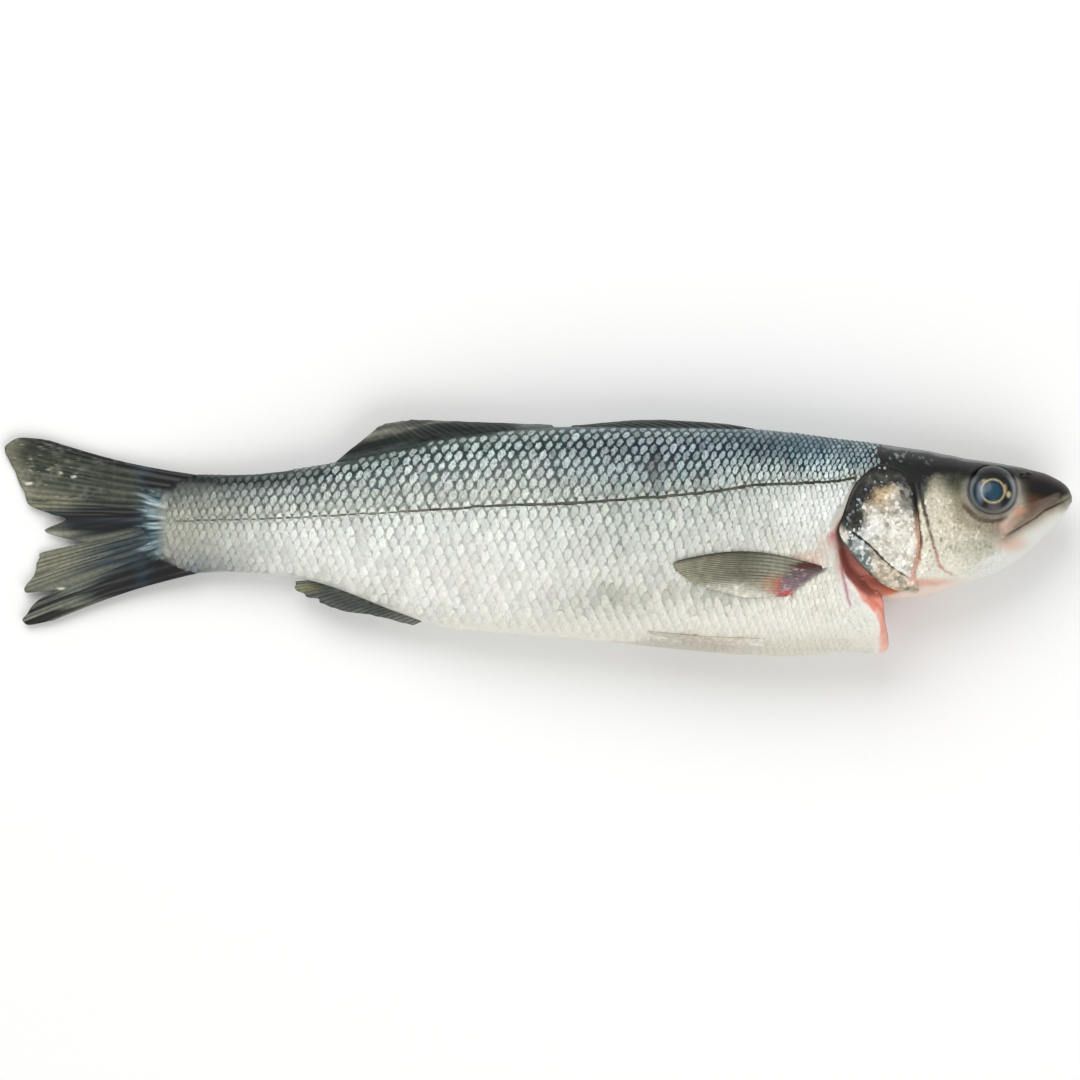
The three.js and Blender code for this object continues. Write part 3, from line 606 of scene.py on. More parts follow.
def cover_paint(x, y):
    """A gill cover: black above, silver and gold in the middle, with blue-black scales at its tip."""
    grain = mottle(x, y, 1.9, 21) + 0.6 * mottle(x, y, 0.8, 22)
    colour = ramp(grain, {-1.4: "#a5a193", -0.6: "#cdc8b9", 0.2: "#e4e1d5", 1.2: "#f3f1e9"})
    colour = layers(x, y, colour, [
        ("#b89c74", 0.8, (73, 16), (6, 5.4), 1.3),
        ("#d3b88f", 0.8, (70.8, 16.6), (2.3, 2.8), 1.4),
        ("#4d3826", 0.85, (77, 15.8), (2.4, 3.4), 1.3),
    ])
    dark = step(y + 1.6 * grain, 17, 20.4) + 0.95 * blob(x, y, (83.4, 10), (4.8, 8), 0.8)
    dark = dark + blob(x, y, (81.6, 6.2), (4.4, 3.8), 1.1) * (0.55 + 0.5 * grain)
    dark = dark + blob(x, y, (62, 17), (3.2, 7), 1.2) * (0.75 + 0.4 * grain)
    dark = dark + blob(x, y, (80.4, 18), (5, 5), 1) + 0.35 * step(grain, -0.6, -1.2) * step(y, 2, 8)
    night = ramp(grain, {-1: "#0d1113", 0.3: "#171b1b", 1.1: "#454338"})
    colour = layers(x, y, colour, [
        ("#8d8c81", 0.7 * step(grain, 0.9, -0.3), (66, 11.6), (9, 2.8), 1.5),
        (night, 0.95 * np.clip(dark, 0, 1)),
    ])
    far, share, side = from_line(x, y, COVER_SEAM)
    below = step(far * side, -0.6, 0.4) * step(share, 0.01, 0.04)
    tip = step(x, 73, 78)
    colour = layers(x, y, colour, [
        (ramp(grain, {-1: "#1d272c", 0: "#6f797a", 0.9: "#cdd3d0"}), 0.9 * below * tip),
        (ramp(grain, {-1: "#8a8070", 0: "#cdb79b", 0.9: "#e6dccb"}), 0.75 * below * (1 - tip)),
        ("#262420", 0.95 * step(far + 0.15 * grain, 0.7 - 0.35 * share, 0.15)),
    ])
    rim = inside(x, y, COVER_OUTLINE)
    olive = hump(rim, 1.6) * step(y, -18.5, -15) * step(y, -3, -7)
    colour = layers(x, y, colour, [
        ("#34382c", 0.85 * olive * (0.8 + 0.3 * grain)),
        ("#0d1112", 0.95 * hump(rim, 1.5) * step(y, 2, 7)),
    ])
    near_hinge = off_line(x, y, COVER_HINGE)
    strip = ramp(y, {-16: "#dfae9e", 0: "#cc9877", 6: "#a8866c", 10: "#3c352f", 13: "#101314"})
    return over(colour, strip, 0.9 * hump(near_hinge - 0.4, 1.5))


# ---- Meshes -----------------------------------------------------------------------------------
MERGED_WITHIN = 0.01 * MM


def place_of(points):
    """From (x, y, z) in millimetres, x counted back from the snout, to the frame in metres."""
    return (np.asarray(points) * (-1, 1, 1) + (SNOUT_X, 0, 0)) * MM


def add_attributes(mesh, attributes):
    for name, values in attributes.items():
        kind, field = ("FLOAT", "value") if values.ndim == 1 else ("FLOAT_COLOR", "color")
        if name == "spread":
            kind, field = "FLOAT_VECTOR", "vector"
        elif kind == "FLOAT_COLOR":
            values = np.concatenate([under_gloss(values), np.ones((len(values), 1))], 1)
        made = mesh.attributes.new(name, kind, "POINT")
        made.data.foreach_set(field, values.astype(np.float32).ravel())


def linked(name, data):
    """Makes an object and puts it in the scene."""
    made = bpy.data.objects.new(name, data)
    bpy.context.scene.collection.objects.link(made)
    return made


def new_object(name, points, faces, attributes=None):
    mesh = bpy.data.meshes.new(name)
    mesh.from_pydata(np.asarray(points).tolist(), [], faces)
    add_attributes(mesh, attributes or {})
    if faces:
        mesh.shade_smooth()
    return linked(name, mesh)


def ring_faces(rows, columns):
    """Quads between rows of a grid whose columns close into rings."""
    starts = [(r * columns, c, (c + 1) % columns) for r in range(rows - 1) for c in range(columns)]
    return [(a + c, a + d, a + columns + d, a + columns + c) for a, c, d in starts]


def closed_skin(name, grid, attributes):
    """A closed mesh over rings of places, with a pole at each end."""
    rows, columns = grid.shape[:2]

    def with_poles(values):
        return np.concatenate([*values, [values[0].mean(0), values[-1].mean(0)]])

    faces = ring_faces(rows, columns)
    last = (rows - 1) * columns
    for c in range(columns):
        d = (c + 1) % columns
        faces += [(d, c, rows * columns), (last + c, last + d, rows * columns + 1)]
    spread = {key: with_poles(values) for key, values in attributes.items()}
    piece = new_object(name, place_of(with_poles(grid)), faces, spread)
    tidy_mesh(piece)
    return piece


def tidy_mesh(piece):
    """Merges doubles and turns every face outwards."""
    work = bmesh.new()
    work.from_mesh(piece.data)
    bmesh.ops.remove_doubles(work, verts=work.verts, dist=MERGED_WITHIN)
    bmesh.ops.dissolve_degenerate(work, edges=work.edges, dist=MERGED_WITHIN / 2)
    bmesh.ops.recalc_face_normals(work, faces=work.faces)
    work.to_mesh(piece.data)
    work.free()


def on_floor(grid, room=0.0):
    """Nothing sinks into the surface that the fish lies on."""
    grid[..., 2] = np.maximum(grid[..., 2], room)
    return grid


# ---- Materials --------------------------------------------------------------------------------
def plug(tree, made, inputs):
    """Links or sets inputs of a node. A node given as a value stands for its first output."""
    for key, value in inputs.items():
        if isinstance(value, bpy.types.Node):
            value = value.outputs[0]
        if isinstance(value, bpy.types.NodeSocket):
            tree.links.new(value, made.inputs[key])
        else:
            made.inputs[key].default_value = value


def node(tree, kind, inputs=None, **settings):
    """Adds a node with its settings and its links."""
    made = tree.nodes.new(kind)
    for name, value in settings.items():
        setattr(made, name, value)
    plug(tree, made, inputs or {})
    return made


def new_material(name, surface):
    """A material; surface builds its nodes and tells what goes into the shader."""
    finish = bpy.data.materials.new(name)
    finish.use_nodes = True
    tree = finish.node_tree
    place = node(tree, "ShaderNodeTexCoord").outputs["Object"]
    plug(tree, tree.nodes["Principled BSDF"], surface(tree, place))
    return finish


def fish_skin(tree, place):
    """Tiny scales and slime over a silver layer, so a soft gloss over fine speckled colour."""
    paint = node(tree, "ShaderNodeAttribute", attribute_name="paint")
    speckle = node(tree, "ShaderNodeAttribute", attribute_name="speckle").outputs["Fac"]
    fine = node(tree, "ShaderNodeTexNoise", {
        "Vector": place, "Scale": 1 / (1.1 * MM), "Detail": 3.0, "Roughness": 0.65,
    })
    cells = node(tree, "ShaderNodeTexVoronoi", {"Vector": place, "Scale": 1 / (0.95 * MM)})
    tone = node(tree, "ShaderNodeSeparateColor", {"Color": cells.outputs["Color"]})
    grain = node(tree, "ShaderNodeMath", {0: tone, 1: fine}, operation="ADD")
    level = node(tree, "ShaderNodeMapRange", {
        "Value": grain, "From Min": 0.45, "From Max": 1.5, "To Min": 0.68, "To Max": 1.2,
    })
    speckled = node(
        tree, "ShaderNodeMix", {0: speckle, 6: paint, 7: level}, data_type="RGBA", blend_type="MULTIPLY",
    )
    rough = node(tree, "ShaderNodeMapRange", {
        "Value": fine, "From Min": 0.3, "From Max": 0.7, "To Min": 0.32, "To Max": 0.5,
    })
    bump = node(tree, "ShaderNodeBump", {"Height": grain, "Strength": 0.4, "Distance": 0.12 * MM})
    return {
        "Base Color": speckled.outputs[2], "Roughness": rough, "Normal": bump, "Specular IOR Level": 0.3,
        "Coat Weight": 0.15, "Coat Roughness": 0.2,
    }


def horny_scale(tree, place):
    """A thin scale over silver skin: a bright leaning oval, a dark rim, and a wet gloss."""
    plate = node(tree, "ShaderNodeUVMap", uv_map="plate")
    given = {
        name: node(tree, "ShaderNodeAttribute", attribute_name=name).outputs
        for name in ("bright", "dark", "fill", "tilt", "streak")
    }
    fine = node(tree, "ShaderNodeTexNoise", {
        "Vector": place, "Scale": 1 / (1.0 * MM), "Detail": 2.0, "Roughness": 0.6,
    })
    moved = node(tree, "ShaderNodeVectorMath", {0: plate, 1: (*OVAL_AT, 0)}, operation="SUBTRACT")
    parts = node(tree, "ShaderNodeSeparateXYZ", {"Vector": moved}).outputs
    along = node(tree, "ShaderNodeMath", {
        0: parts["Y"], 1: given["tilt"]["Fac"], 2: parts["X"],
    }, operation="MULTIPLY_ADD")
    both = node(tree, "ShaderNodeCombineXYZ", {"X": along, "Y": parts["Y"]})
    sized = node(tree, "ShaderNodeVectorMath", {0: both, 1: (*OVAL_SIZE, 1)}, operation="DIVIDE")
    far = node(tree, "ShaderNodeVectorMath", {0: sized}, operation="LENGTH").outputs["Value"]
    edge = node(tree, "ShaderNodeMath", {0: far, 1: given["fill"]["Fac"]}, operation="SUBTRACT")
    ragged = node(tree, "ShaderNodeMath", {0: fine, 1: 1.5, 2: edge}, operation="MULTIPLY_ADD")
    oval = node(tree, "ShaderNodeMapRange", {
        "Value": ragged, "From Min": 2.05, "From Max": 1.45,
    }, interpolation_type="SMOOTHSTEP")
    # Upright streaks in the silver, which is duller towards the hidden end of the scale.
    upright = node(tree, "ShaderNodeVectorMath", {0: place, 1: (1.0, 0.4, 0.4)}, operation="MULTIPLY")
    streaks = node(tree, "ShaderNodeTexNoise", {"Vector": upright, "Scale": 1 / (0.62 * MM), "Detail": 2.0})
    swing = node(tree, "ShaderNodeMath", {0: streaks, 1: 0.52}, operation="SUBTRACT")
    level = node(tree, "ShaderNodeMath", {
        0: swing, 1: given["streak"]["Fac"], 2: 0.97,
    }, operation="MULTIPLY_ADD")
    shade = node(tree, "ShaderNodeMath", {0: parts["X"], 1: -0.45, 2: level}, operation="MULTIPLY_ADD")
    kept = node(tree, "ShaderNodeClamp", {"Value": shade, "Min": 0.3, "Max": 1.18})
    silver = node(tree, "ShaderNodeMix", {
        0: 1.0, 6: given["bright"]["Color"], 7: kept,
    }, data_type="RGBA", blend_type="MULTIPLY")
    mixed = node(tree, "ShaderNodeMix", {
        0: oval, 6: given["dark"]["Color"], 7: silver.outputs[2],
    }, data_type="RGBA")
    ridges = node(tree, "ShaderNodeTexWave", {
        "Vector": plate, "Scale": 5.0, "Distortion": 1.5,
    }, bands_direction="Y").outputs["Fac"]
    bump = node(tree, "ShaderNodeBump", {"Height": ridges, "Strength": 0.12, "Distance": 0.05 * MM})
    return {
        "Base Color": mixed.outputs[2], "Normal": bump, "Roughness": 0.36, "Specular IOR Level": 0.3,
        "Coat Weight": 0.15, "Coat Roughness": 0.15,
    }


def fin_skin(tree, place):
    """Skin over rays: thin and matt. The real skin is slightly see-through, so the rays draw dark lines on
    it; here those lines are in the paint, not in the shader.
    """
    paint = node(tree, "ShaderNodeAttribute", attribute_name="paint")
    fine = node(tree, "ShaderNodeTexNoise", {"Vector": place, "Scale": 1 / (1.6 * MM), "Detail": 3.0})
    level = node(tree, "ShaderNodeMapRange", {
        "Value": fine, "From Min": 0.3, "From Max": 0.7, "To Min": 0.8, "To Max": 1.2,
    })
    mixed = node(tree, "ShaderNodeMix", {0: 1.0, 6: paint, 7: level}, data_type="RGBA", blend_type="MULTIPLY")
    bump = node(tree, "ShaderNodeBump", {"Height": fine, "Strength": 0.3, "Distance": 0.1 * MM})
    return {
        "Base Color": mixed.outputs[2], "Normal": bump, "Roughness": 0.5, "Specular IOR Level": 0.35,
        "Coat Weight": 0.12, "Coat Roughness": 0.25,
    }


def clear_cornea(tree, place):
    """A fresh eye is clear and wet, so a mirror gloss over the painted iris."""
    paint = node(tree, "ShaderNodeAttribute", attribute_name="paint")
    return {
        "Base Color": paint, "Roughness": 0.35, "Specular IOR Level": 0.3,
        "Coat Weight": 0.3, "Coat Roughness": 0.06,
    }


def white_paper(tree, place):
    """Matt uncoated paper, with a faint mottle of its fibres."""
    fibre = node(tree, "ShaderNodeTexNoise", {"Vector": place, "Scale": 900.0})
    tone = node(tree, "ShaderNodeMix", {0: fibre, 6: rgba("#f4f4f3"), 7: rgba("#f8f8f7")}, data_type="RGBA")
    return {"Base Color": tone.outputs[2], "Roughness": 0.9}


SKIN = new_material("wet fish skin", fish_skin)
SCALE = new_material("silver fish scale", horny_scale)
FIN = new_material("thin fin skin", fin_skin)
WET_EYE = new_material("wet eye", clear_cornea)


def sided(name, is_right):
    return name + ("_right" if is_right else "_left")


def hand_over(piece, node_name=None, finish=None):
    """Gives a piece its finish, hangs it under the root, and hides the CAD node that it stands for."""
    if finish:
        piece.data.materials.append(finish)
    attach(piece, "root")
    if node_name:
        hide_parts(node_name)


# ---- Head and trunk ---------------------------------------------------------------------------
COLUMNS = 260
TURNS = np.linspace(0, 2 * np.pi, COLUMNS, endpoint=False)
HOLLOW_RINGS = 14
HOLLOW_DEPTH = 11


def shaped(grid, normals):
    """Gives the smooth form its relief, and lets the belly's open front lean."""
    lifted = grid + normals * relief(grid[..., 0], grid[..., 1], grid[..., 2])[..., None]
    lifted[..., 0] -= lean(grid[..., 0], grid[..., 1])
    return on_floor(lifted, FLOOR_ROOM)


def make_body():
    """The whole skin: the head, the trunk, and the open throat between them."""
    head_at = THROAT * (0.002 + 0.998 * np.linspace(0, 1, 141) ** 1.25)
    trunk_at = np.concatenate([
        np.linspace(THROAT, 98, 40, endpoint=False),
        np.linspace(98, 330, 125, endpoint=False),
        330 + (BODY_LENGTH - 330) * np.sin(np.linspace(0, np.pi / 2, 34)),
    ])
    head, trunk = bare_skin(head_at, True, TURNS), bare_skin(trunk_at, False, TURNS)
    head_out, trunk_out = outward(head, True), outward(trunk, True)
    met = np.linalg.norm(head[-1] - trunk[0], axis=-1) < 0.01
    shared = (head_out[-1] + trunk_out[0]) / 2
    head_out[-1][met] = trunk_out[0][met] = shared[met]
    paints = [head_paint(head[..., 0], head[..., 1]), trunk_paint(*np.moveaxis(trunk, -1, 0))]
    speckles = [0.6 * step(head[..., 0], 20, 34) * step(head[..., 1], -20, -8), 0 * trunk[..., 0] + 0.25]
    head, trunk = shaped(head, head_out), shaped(trunk, trunk_out)
    # The throat: from the jaw back into the empty belly, and forward again along its wall.
    t = np.linspace(0, 1, HOLLOW_RINGS + 2)[1:-1, None, None]
    throat = head[-1] + (trunk[0] - head[-1]) * t**0.8
    wide = np.minimum(1, np.linalg.norm(trunk[0] - head[-1], axis=-1) / 8)
    throat[..., 0] += HOLLOW_DEPTH * wide * (1 - np.abs(2 * t[..., 0] - 1) ** 2.5)
    lining = ramp(t[:, 0, 0], {0: "#cf8068", 0.25: "#a3685f", 0.7: "#98605a", 0.88: "#c47664", 1: "#dd8672"})
    throat_paint = np.where(met[None, :, None], paints[0][-1][None], lining[:, None])
    grid = np.concatenate([head, on_floor(throat, FLOOR_ROOM), trunk])
    paint = np.concatenate([paints[0], throat_paint, paints[1]])
    speckle = np.concatenate([speckles[0], 0 * throat[..., 0], speckles[1]])
    piece = closed_skin("body_skin", grid, {"paint": paint, "speckle": speckle})
    hand_over(piece, "body", SKIN)


# ---- Scales -----------------------------------------------------------------------------------
class Side:
    """One side of the fish, unrolled: places are (x, arc), the arc up from the lateral line."""

    STEP = 0.5
    LOW, HIGH = -90, 60
    PAST = 0.55  # the turn goes on past the ridge and the keel by this
    MIDDLE = slice(60, 461)  # of the turn, where the height only rises

    def __init__(self, is_right):
        self.at = np.arange(66, BODY_LENGTH - 1, 1.0)
        turn = np.linspace(-np.pi / 2 - self.PAST, np.pi / 2 + self.PAST, 521)
        skin = bare_skin(self.at, False, turn if is_right else np.pi - turn)
        skin[..., 0] -= lean(skin[..., 0], skin[..., 1])
        on_floor(skin, FLOOR_ROOM)
        arcs = np.pad(np.cumsum(np.linalg.norm(np.diff(skin, axis=1), axis=-1), 1), ((0, 0), (1, 0)))
        evenly = np.arange(self.LOW, self.HIGH, self.STEP)
        table, keel, ridge = [], [], []
        for x, ring, arc in zip(self.at, skin, arcs):
            arc = arc - np.interp(lateral_line(x), ring[self.MIDDLE, 1], arc[self.MIDDLE])
            table.append(np.stack([np.interp(evenly, arc, ring[:, k]) for k in range(3)], -1))
            keel.append(np.interp(-np.pi / 2, turn, arc))
            ridge.append(np.interp(np.pi / 2, turn, arc))
        self.table, self.keel, self.ridge = np.array(table), keel, ridge
        self.normals = outward(self.table, False) * (1 if is_right else -1)

    def read(self, table, x, arc):
        rows, columns = table.shape[:2]
        u = np.clip(x - self.at[0], 0, rows - 1.001)
        v = np.clip((arc - self.LOW) / self.STEP, 0, columns - 1.001)
        i, j = u.astype(int), v.astype(int)
        s, t = (u - i)[..., None], (v - j)[..., None]
        near = table[i, j] * (1 - t) + table[i, j + 1] * t
        return near * (1 - s) + (table[i + 1, j] * (1 - t) + table[i + 1, j + 1] * t) * s

    def height(self, x, arc):
        return self.read(self.table, x, arc)[..., 1]

    def place(self, x, arc, lift):
        normal = self.read(self.normals, x, arc)
        normal /= np.maximum(np.linalg.norm(normal, axis=-1, keepdims=True), 1e-9)
        return on_floor(self.read(self.table, x, arc) + normal * lift[..., None])


def scale_plate():
    """One scale, one pitch and one row spacing in size: its free edge is round and points to the tail."""
    n = 5
    u, v = np.meshgrid(np.linspace(0, 1, n), np.linspace(-1, 1, n), indexing="ij")
    x = SCALE_LENGTH * (u - 1) - 0.42 * v**2 * u**1.5
    y = v * SCALE_REACH * np.sqrt(1 - 0.3 * (u - 0.45) ** 2)
    top = np.dstack([x, y, SCALE_PROUD + SCALE_SLOPE * x - 0.1 * v**2 * (0.3 + u)]).reshape(-1, 3)
    rim = [*range(n), *range(2 * n - 1, n * n, n), *range(n * n - 2, n * n - n - 1, -1)]
    rim += range(n * n - 2 * n, 0, -n)
    faces = [(a, a + n, a + n + 1, a + 1) for a in range(n * n - n) if a % n < n - 1]
    under = list(range(n * n, n * n + len(rim)))
    faces += [(a, b, d, c) for a, b, c, d in zip(rim, rim[1:] + rim[:1], under, under[1:] + under[:1])]
    faces.append(under[::-1])
    piece = new_object("one_scale", np.concatenate([top, top[rim] - (0, 0, 0.3)]), faces)
    tidy_mesh(piece)
    flat = np.array([v.co[:2] for v in piece.data.vertices])
    spread = flat[[loop.vertex_index for loop in piece.data.loops]] / [SCALE_LENGTH, 2 * SCALE_REACH] + [
        1, 0.5,
    ]
    piece.data.uv_layers.new(name="plate").data.foreach_set("uv", spread.ravel())
    return piece


AROUND = np.linspace(0, 2 * np.pi, 8, endpoint=False)


def round_plate(name, rings):
    """A small closed shape over rings of eight points, the last of them shrunk to one point."""
    points = np.concatenate(rings)
    faces = ring_faces(len(rings), 8)
    faces += [tuple(range(7, -1, -1)), tuple(range(len(points) - 8, len(points)))]
    piece = new_object(name, points, faces)
    tidy_mesh(piece)
    return piece


def pore_plate():
    """One pore of the lateral line: a low ridge, one by one in size, that stands just over the scales."""
    return round_plate("one_pore", [
        np.stack([0 * AROUND + x, 0.5 * wide * np.cos(AROUND), np.maximum(0.1, high * np.sin(AROUND))], -1)
        for x, wide, high in [
            (-0.5, 0.5, 0.45), (-0.25, 0.9, 0.58), (0, 1, 0.62), (0.25, 0.9, 0.58), (0.5, 0.5, 0.45),
        ]
    ])


def grain_plate():
    """One small scale of the head, one by one in size: a low round boss."""
    return round_plate("one_grain", [
        np.stack([r * np.cos(AROUND), r * np.sin(AROUND), 0 * AROUND + z], -1)
        for r, z in [(0.5, -0.25), (0.5, 0.02), (0.36, 0.16), (0, 0.2)]
    ])


def scatter_tree():
    """A Geometry Nodes tree that lays a copy of Plate on every point, sized and turned by the point."""
    tree = bpy.data.node_groups.new("laid plates", "GeometryNodeTree")
    kinds = {"Points": "Geometry", "Plate": "Object", "Wobble": "Float", "Seed": "Int", "Finish": "Material"}
    sockets = {
        name: tree.interface.new_socket(name, in_out="INPUT", socket_type="NodeSocket" + kind).identifier
        for name, kind in kinds.items()
    }
    tree.interface.new_socket("Plates", in_out="OUTPUT", socket_type="NodeSocketGeometry")
    given = node(tree, "NodeGroupInput").outputs
    plate = node(tree, "GeometryNodeObjectInfo", {"Object": given["Plate"]}).outputs["Geometry"]
    low = node(tree, "ShaderNodeMath", {0: given["Wobble"], 1: -1.0}, operation="MULTIPLY")
    turns = {}
    for k, axis in enumerate("XYZ"):
        seed = node(tree, "FunctionNodeIntegerMath", {0: given["Seed"], 1: k})
        turn = node(tree, "FunctionNodeRandomValue", {2: low, 3: given["Wobble"], "Seed": seed})
        turns[axis] = turn.outputs[1]
    wobble = node(tree, "ShaderNodeCombineXYZ", turns)
    size = node(tree, "GeometryNodeInputNamedAttribute", {"Name": "spread"}, data_type="FLOAT_VECTOR")
    laid = node(tree, "GeometryNodeInstanceOnPoints", {
        "Points": given["Points"], "Instance": plate, "Rotation": wobble, "Scale": size.outputs["Attribute"],
    })
    real = node(tree, "GeometryNodeRealizeInstances", {"Geometry": laid})
    finished = node(tree, "GeometryNodeSetMaterial", {"Geometry": real, "Material": given["Finish"]})
    node(tree, "NodeGroupOutput", {0: finished})
    return tree, sockets


def laid_plates(plate, x, arc, attributes, wobble, seed, finish):
    """Runs the tree over points and gives back the plain mesh it makes, still flat, in millimetres."""
    tree, sockets = SCATTER
    seeds = new_object("seeds", np.stack([x, arc, 0 * x], -1), [], attributes)
    grower = seeds.modifiers.new("plates", "NODES")
    grower.node_group = tree
    for key, value in {"Plate": plate, "Wobble": wobble, "Seed": seed, "Finish": finish}.items():
        grower[sockets[key]] = value
    mesh = bpy.data.meshes.new_from_object(seeds.evaluated_get(bpy.context.evaluated_depsgraph_get()))
    bpy.data.objects.remove(seeds)
    return mesh


SHARP_FROM = math.radians(35)  # edges of plates that turn further than this are sharp


def wrap(name, mesh, place, is_right):
    """Bends the flat mesh of laid plates round a side of the fish and makes it a piece."""
    flat = np.zeros(len(mesh.vertices) * 3, np.float32)
    mesh.vertices.foreach_get("co", flat)
    placed = place_of(place(*flat.reshape(-1, 3).T))
    mesh.vertices.foreach_set("co", placed.astype(np.float32).ravel())
    if is_right:
        mesh.flip_normals()
    mesh.shade_smooth()
    mesh.set_sharp_from_angle(angle=SHARP_FROM)
    mesh.name = sided(name, is_right)
    hand_over(linked(mesh.name, mesh))


ATLAS_SHARE = 0.92  # of its square that a plate fills


def bake_atlas(mesh, plates):
    """Gives each plate its own square of the atlas that its colours are baked into."""
    loops = len(mesh.loops)
    uv = np.zeros(loops * 2, np.float32)
    mesh.uv_layers["plate"].data.foreach_get("uv", uv)
    own = np.arange(loops) // (loops // plates)
    wide = math.ceil(math.sqrt(plates))
    cell = np.stack([own % wide, own // wide], -1)
    spread = (cell + 0.5 + (np.clip(uv.reshape(-1, 2), 0, 1) - 0.5) * ATLAS_SHARE) / wide
    mesh.uv_layers.new(name="OFBake").data.foreach_set("uv", spread.ravel())


def scales_start(y):
    """How far behind the snout the first scales are: along the shoulder, and ragged over the nape."""
    return scaled_from(y) + 1.3 * mottle(y, 0 * y, 1.8, 51) * step(y, 20, 23)


def scale_points(side):
    """Where the scales of a side grow: in rows along the lateral line, each half a pitch on from the last."""
    at = np.arange(side.at[0], BODY_LENGTH, 0.25)
    steps = np.concatenate([[0], np.cumsum(0.25 / pitch(at[:-1] + 0.125))])
    found = []
    for row in ROWS:
        x = np.interp(np.arange(0.5 * (row % 2), steps[-1]), steps, at)
        x = x - ROW_LEAN * row * row_spacing(x) * pitch(x)
        spacing = pitch(x)
        arc = row * row_spacing(x) * spacing
        y = side.height(x, arc)
        smooth = np.where((x > FIN_SHEATH[0]) & (x < FIN_SHEATH[1]), 1.3, 0.7)
        fits = arc < np.interp(x, side.at, side.ridge) - smooth * spacing
        fits &= arc > np.interp(x, side.at, side.keel) + 1.2 * spacing + 2.5 * (x < VENT)
        fits &= (x > scales_start(y)) & (x < SCALED_TO - 0.02 * (y - 6) ** 2)
        fits &= off_line(x, y, PECTORAL_ROOT) > 2.2
        found.append(np.stack([x, arc, spacing, y, 0 * y + row], -1)[fits])
    return np.concatenate(found)


def make_scales(is_right):
    side = Side(is_right)
    x, arc, spacing, y, row = scale_points(side).T
    rng = np.random.default_rng(5 if is_right else 6)
    count = len(x)
    rise = back_share(x, y)
    uneven = numbers(rise, {-1: 0.06, -0.1: 0.07, 0.3: 0.13, 1: 0.16})[:, None]
    tint = numbers(rise, {-1: 0.008, 0.3: 0.014})[:, None]
    uneven = 1 + uneven * rng.normal(0, 1, (count, 1)) + tint * rng.normal(0, 1, (count, 3))
    dull = numbers(rise, {0.08: 1, 0.25: 0.87, 0.4: 0.76, 0.6: 0.66, 0.8: 0.63, 0.95: 0.72})
    patchy = numbers(x, {
        82: 1, 97: 0.88, 112: 1, 130: 1.15, 150: 1.1, 170: 0.84, 190: 1.03, 210: 1.23, 230: 1.36, 250: 1.28,
        270: 1.08, 290: 0.85, 312: 1.2,
    })
    bright = bright_of_scales(x, y) * uneven * (dull * (1 + (patchy - 1) * step(rise, 0.35, 0.6)))[:, None]
    dark = dark_of_scales(x, y) * (1 + 0.1 * rng.normal(0, 1, (count, 1)))
    dark = over(dark, "#8f948c", 0.5 * (row == 0))
    shadow = blob(x, y, (157.5, 25), (2.6, 9), 1.5)[:, None] * (rise > 0)[:, None]
    bright, dark = bright * (1 - 0.55 * shadow), dark * (1 - 0.3 * shadow)
    # The band of dusty spots low on the flank, and the bare pale skin at the belly.
    dusty = hump(y + 21 + 0.02 * (x - 140), 5) * step(x, 108, 128) * step(x, 215, 170)
    dusty = 0.75 * dusty * rng.uniform(0.25, 1.1, count)
    pale = ramp(y, {-42: "#d9d4c5", -36: "#e8e5d9", -28: "#ebeadf"})
    pale = over(pale, "#bcb4a6", 0.8 * under_pelvic_fin(x, y))
    low = step(y, -27, -34)
    bright = over(over(bright, "#a9aa9e", dusty), pale, low)
    dark = over(over(dark, "#8f9085", dusty), pale, low)
    fill = numbers(rise, {-1: 0.6, -0.3: 0.52, 0: 0.46, 0.2: 0.33, 0.45: 0.22, 0.8: 0.2, 1: 0})
    fill = fill + 0.13 * rng.normal(0, 1, count) - 0.25 * (row == 0)
    jitter = rng.normal(0, 0.05, (count, 2)) * spacing[:, None]
    lift = (1 + 0.05 * rng.normal(0, 1, count)) * numbers(y, {-40: 0.3, -30: 0.6, -22: 1})
    mesh = laid_plates(ONE_SCALE, x + jitter[:, 0], arc + jitter[:, 1], {
        "spread": np.stack([spacing, spacing * row_spacing(x), lift], -1),
        "bright": bright, "dark": dark, "fill": fill,
        "tilt": numbers(rise, {-0.5: 0.05, 0: 0.15, 0.4: 0.35}),
        "streak": numbers(rise, {-0.6: 0.55, -0.1: 0.8, 0.2: 1.6, 0.6: 2.2}),
    }, 0.01, 3, SCALE)
    bake_atlas(mesh, count)

    def placed(x, arc, height):
        """Shortens the hidden ends of the first scales, so that they stop at the shoulder."""
        bare = np.maximum(scales_start(side.height(x, arc)) - 1.2 - x, 0)
        return side.place(x + 0.9 * bare, arc, height - 0.3 * step(bare, 0, 1.5))

    wrap("scales", mesh, placed, is_right)
    # The lateral line: a pore in each scale, close together in front and apart towards the tail.
    steps = np.cumsum(1 / pitch(side.at))
    x = np.interp(np.arange(1, steps[-1]), steps, side.at)
    x = x[(x > scaled_from(lateral_line(x)) + 1) & (x < SCALED_TO - 4)]
    rear = step(x, 170, 300)
    size = np.stack([pitch(x) * (1.3 - 0.6 * rear), 1.35 - 0.5 * rear, 1 + 0 * rear], -1)
    size[:, :2] *= 1 + 0.1 * rng.normal(0, 1, (len(x), 2))
    paint = ramp(rear, {0: "#4a4a40", 0.4: "#5c5c51", 0.8: "#74756a"}) * (1 + 0.2 * rng.normal(0, 1, (
        len(x), 1,
    )))
    attributes = {"spread": size, "paint": paint, "speckle": 0.4 + 0 * x}
    mesh = laid_plates(ONE_PORE, x, 0.1 * rng.normal(0, 1, len(x)), attributes, 0.03, 9, SKIN)
    wrap("lateral_line", mesh, side.place, is_right)


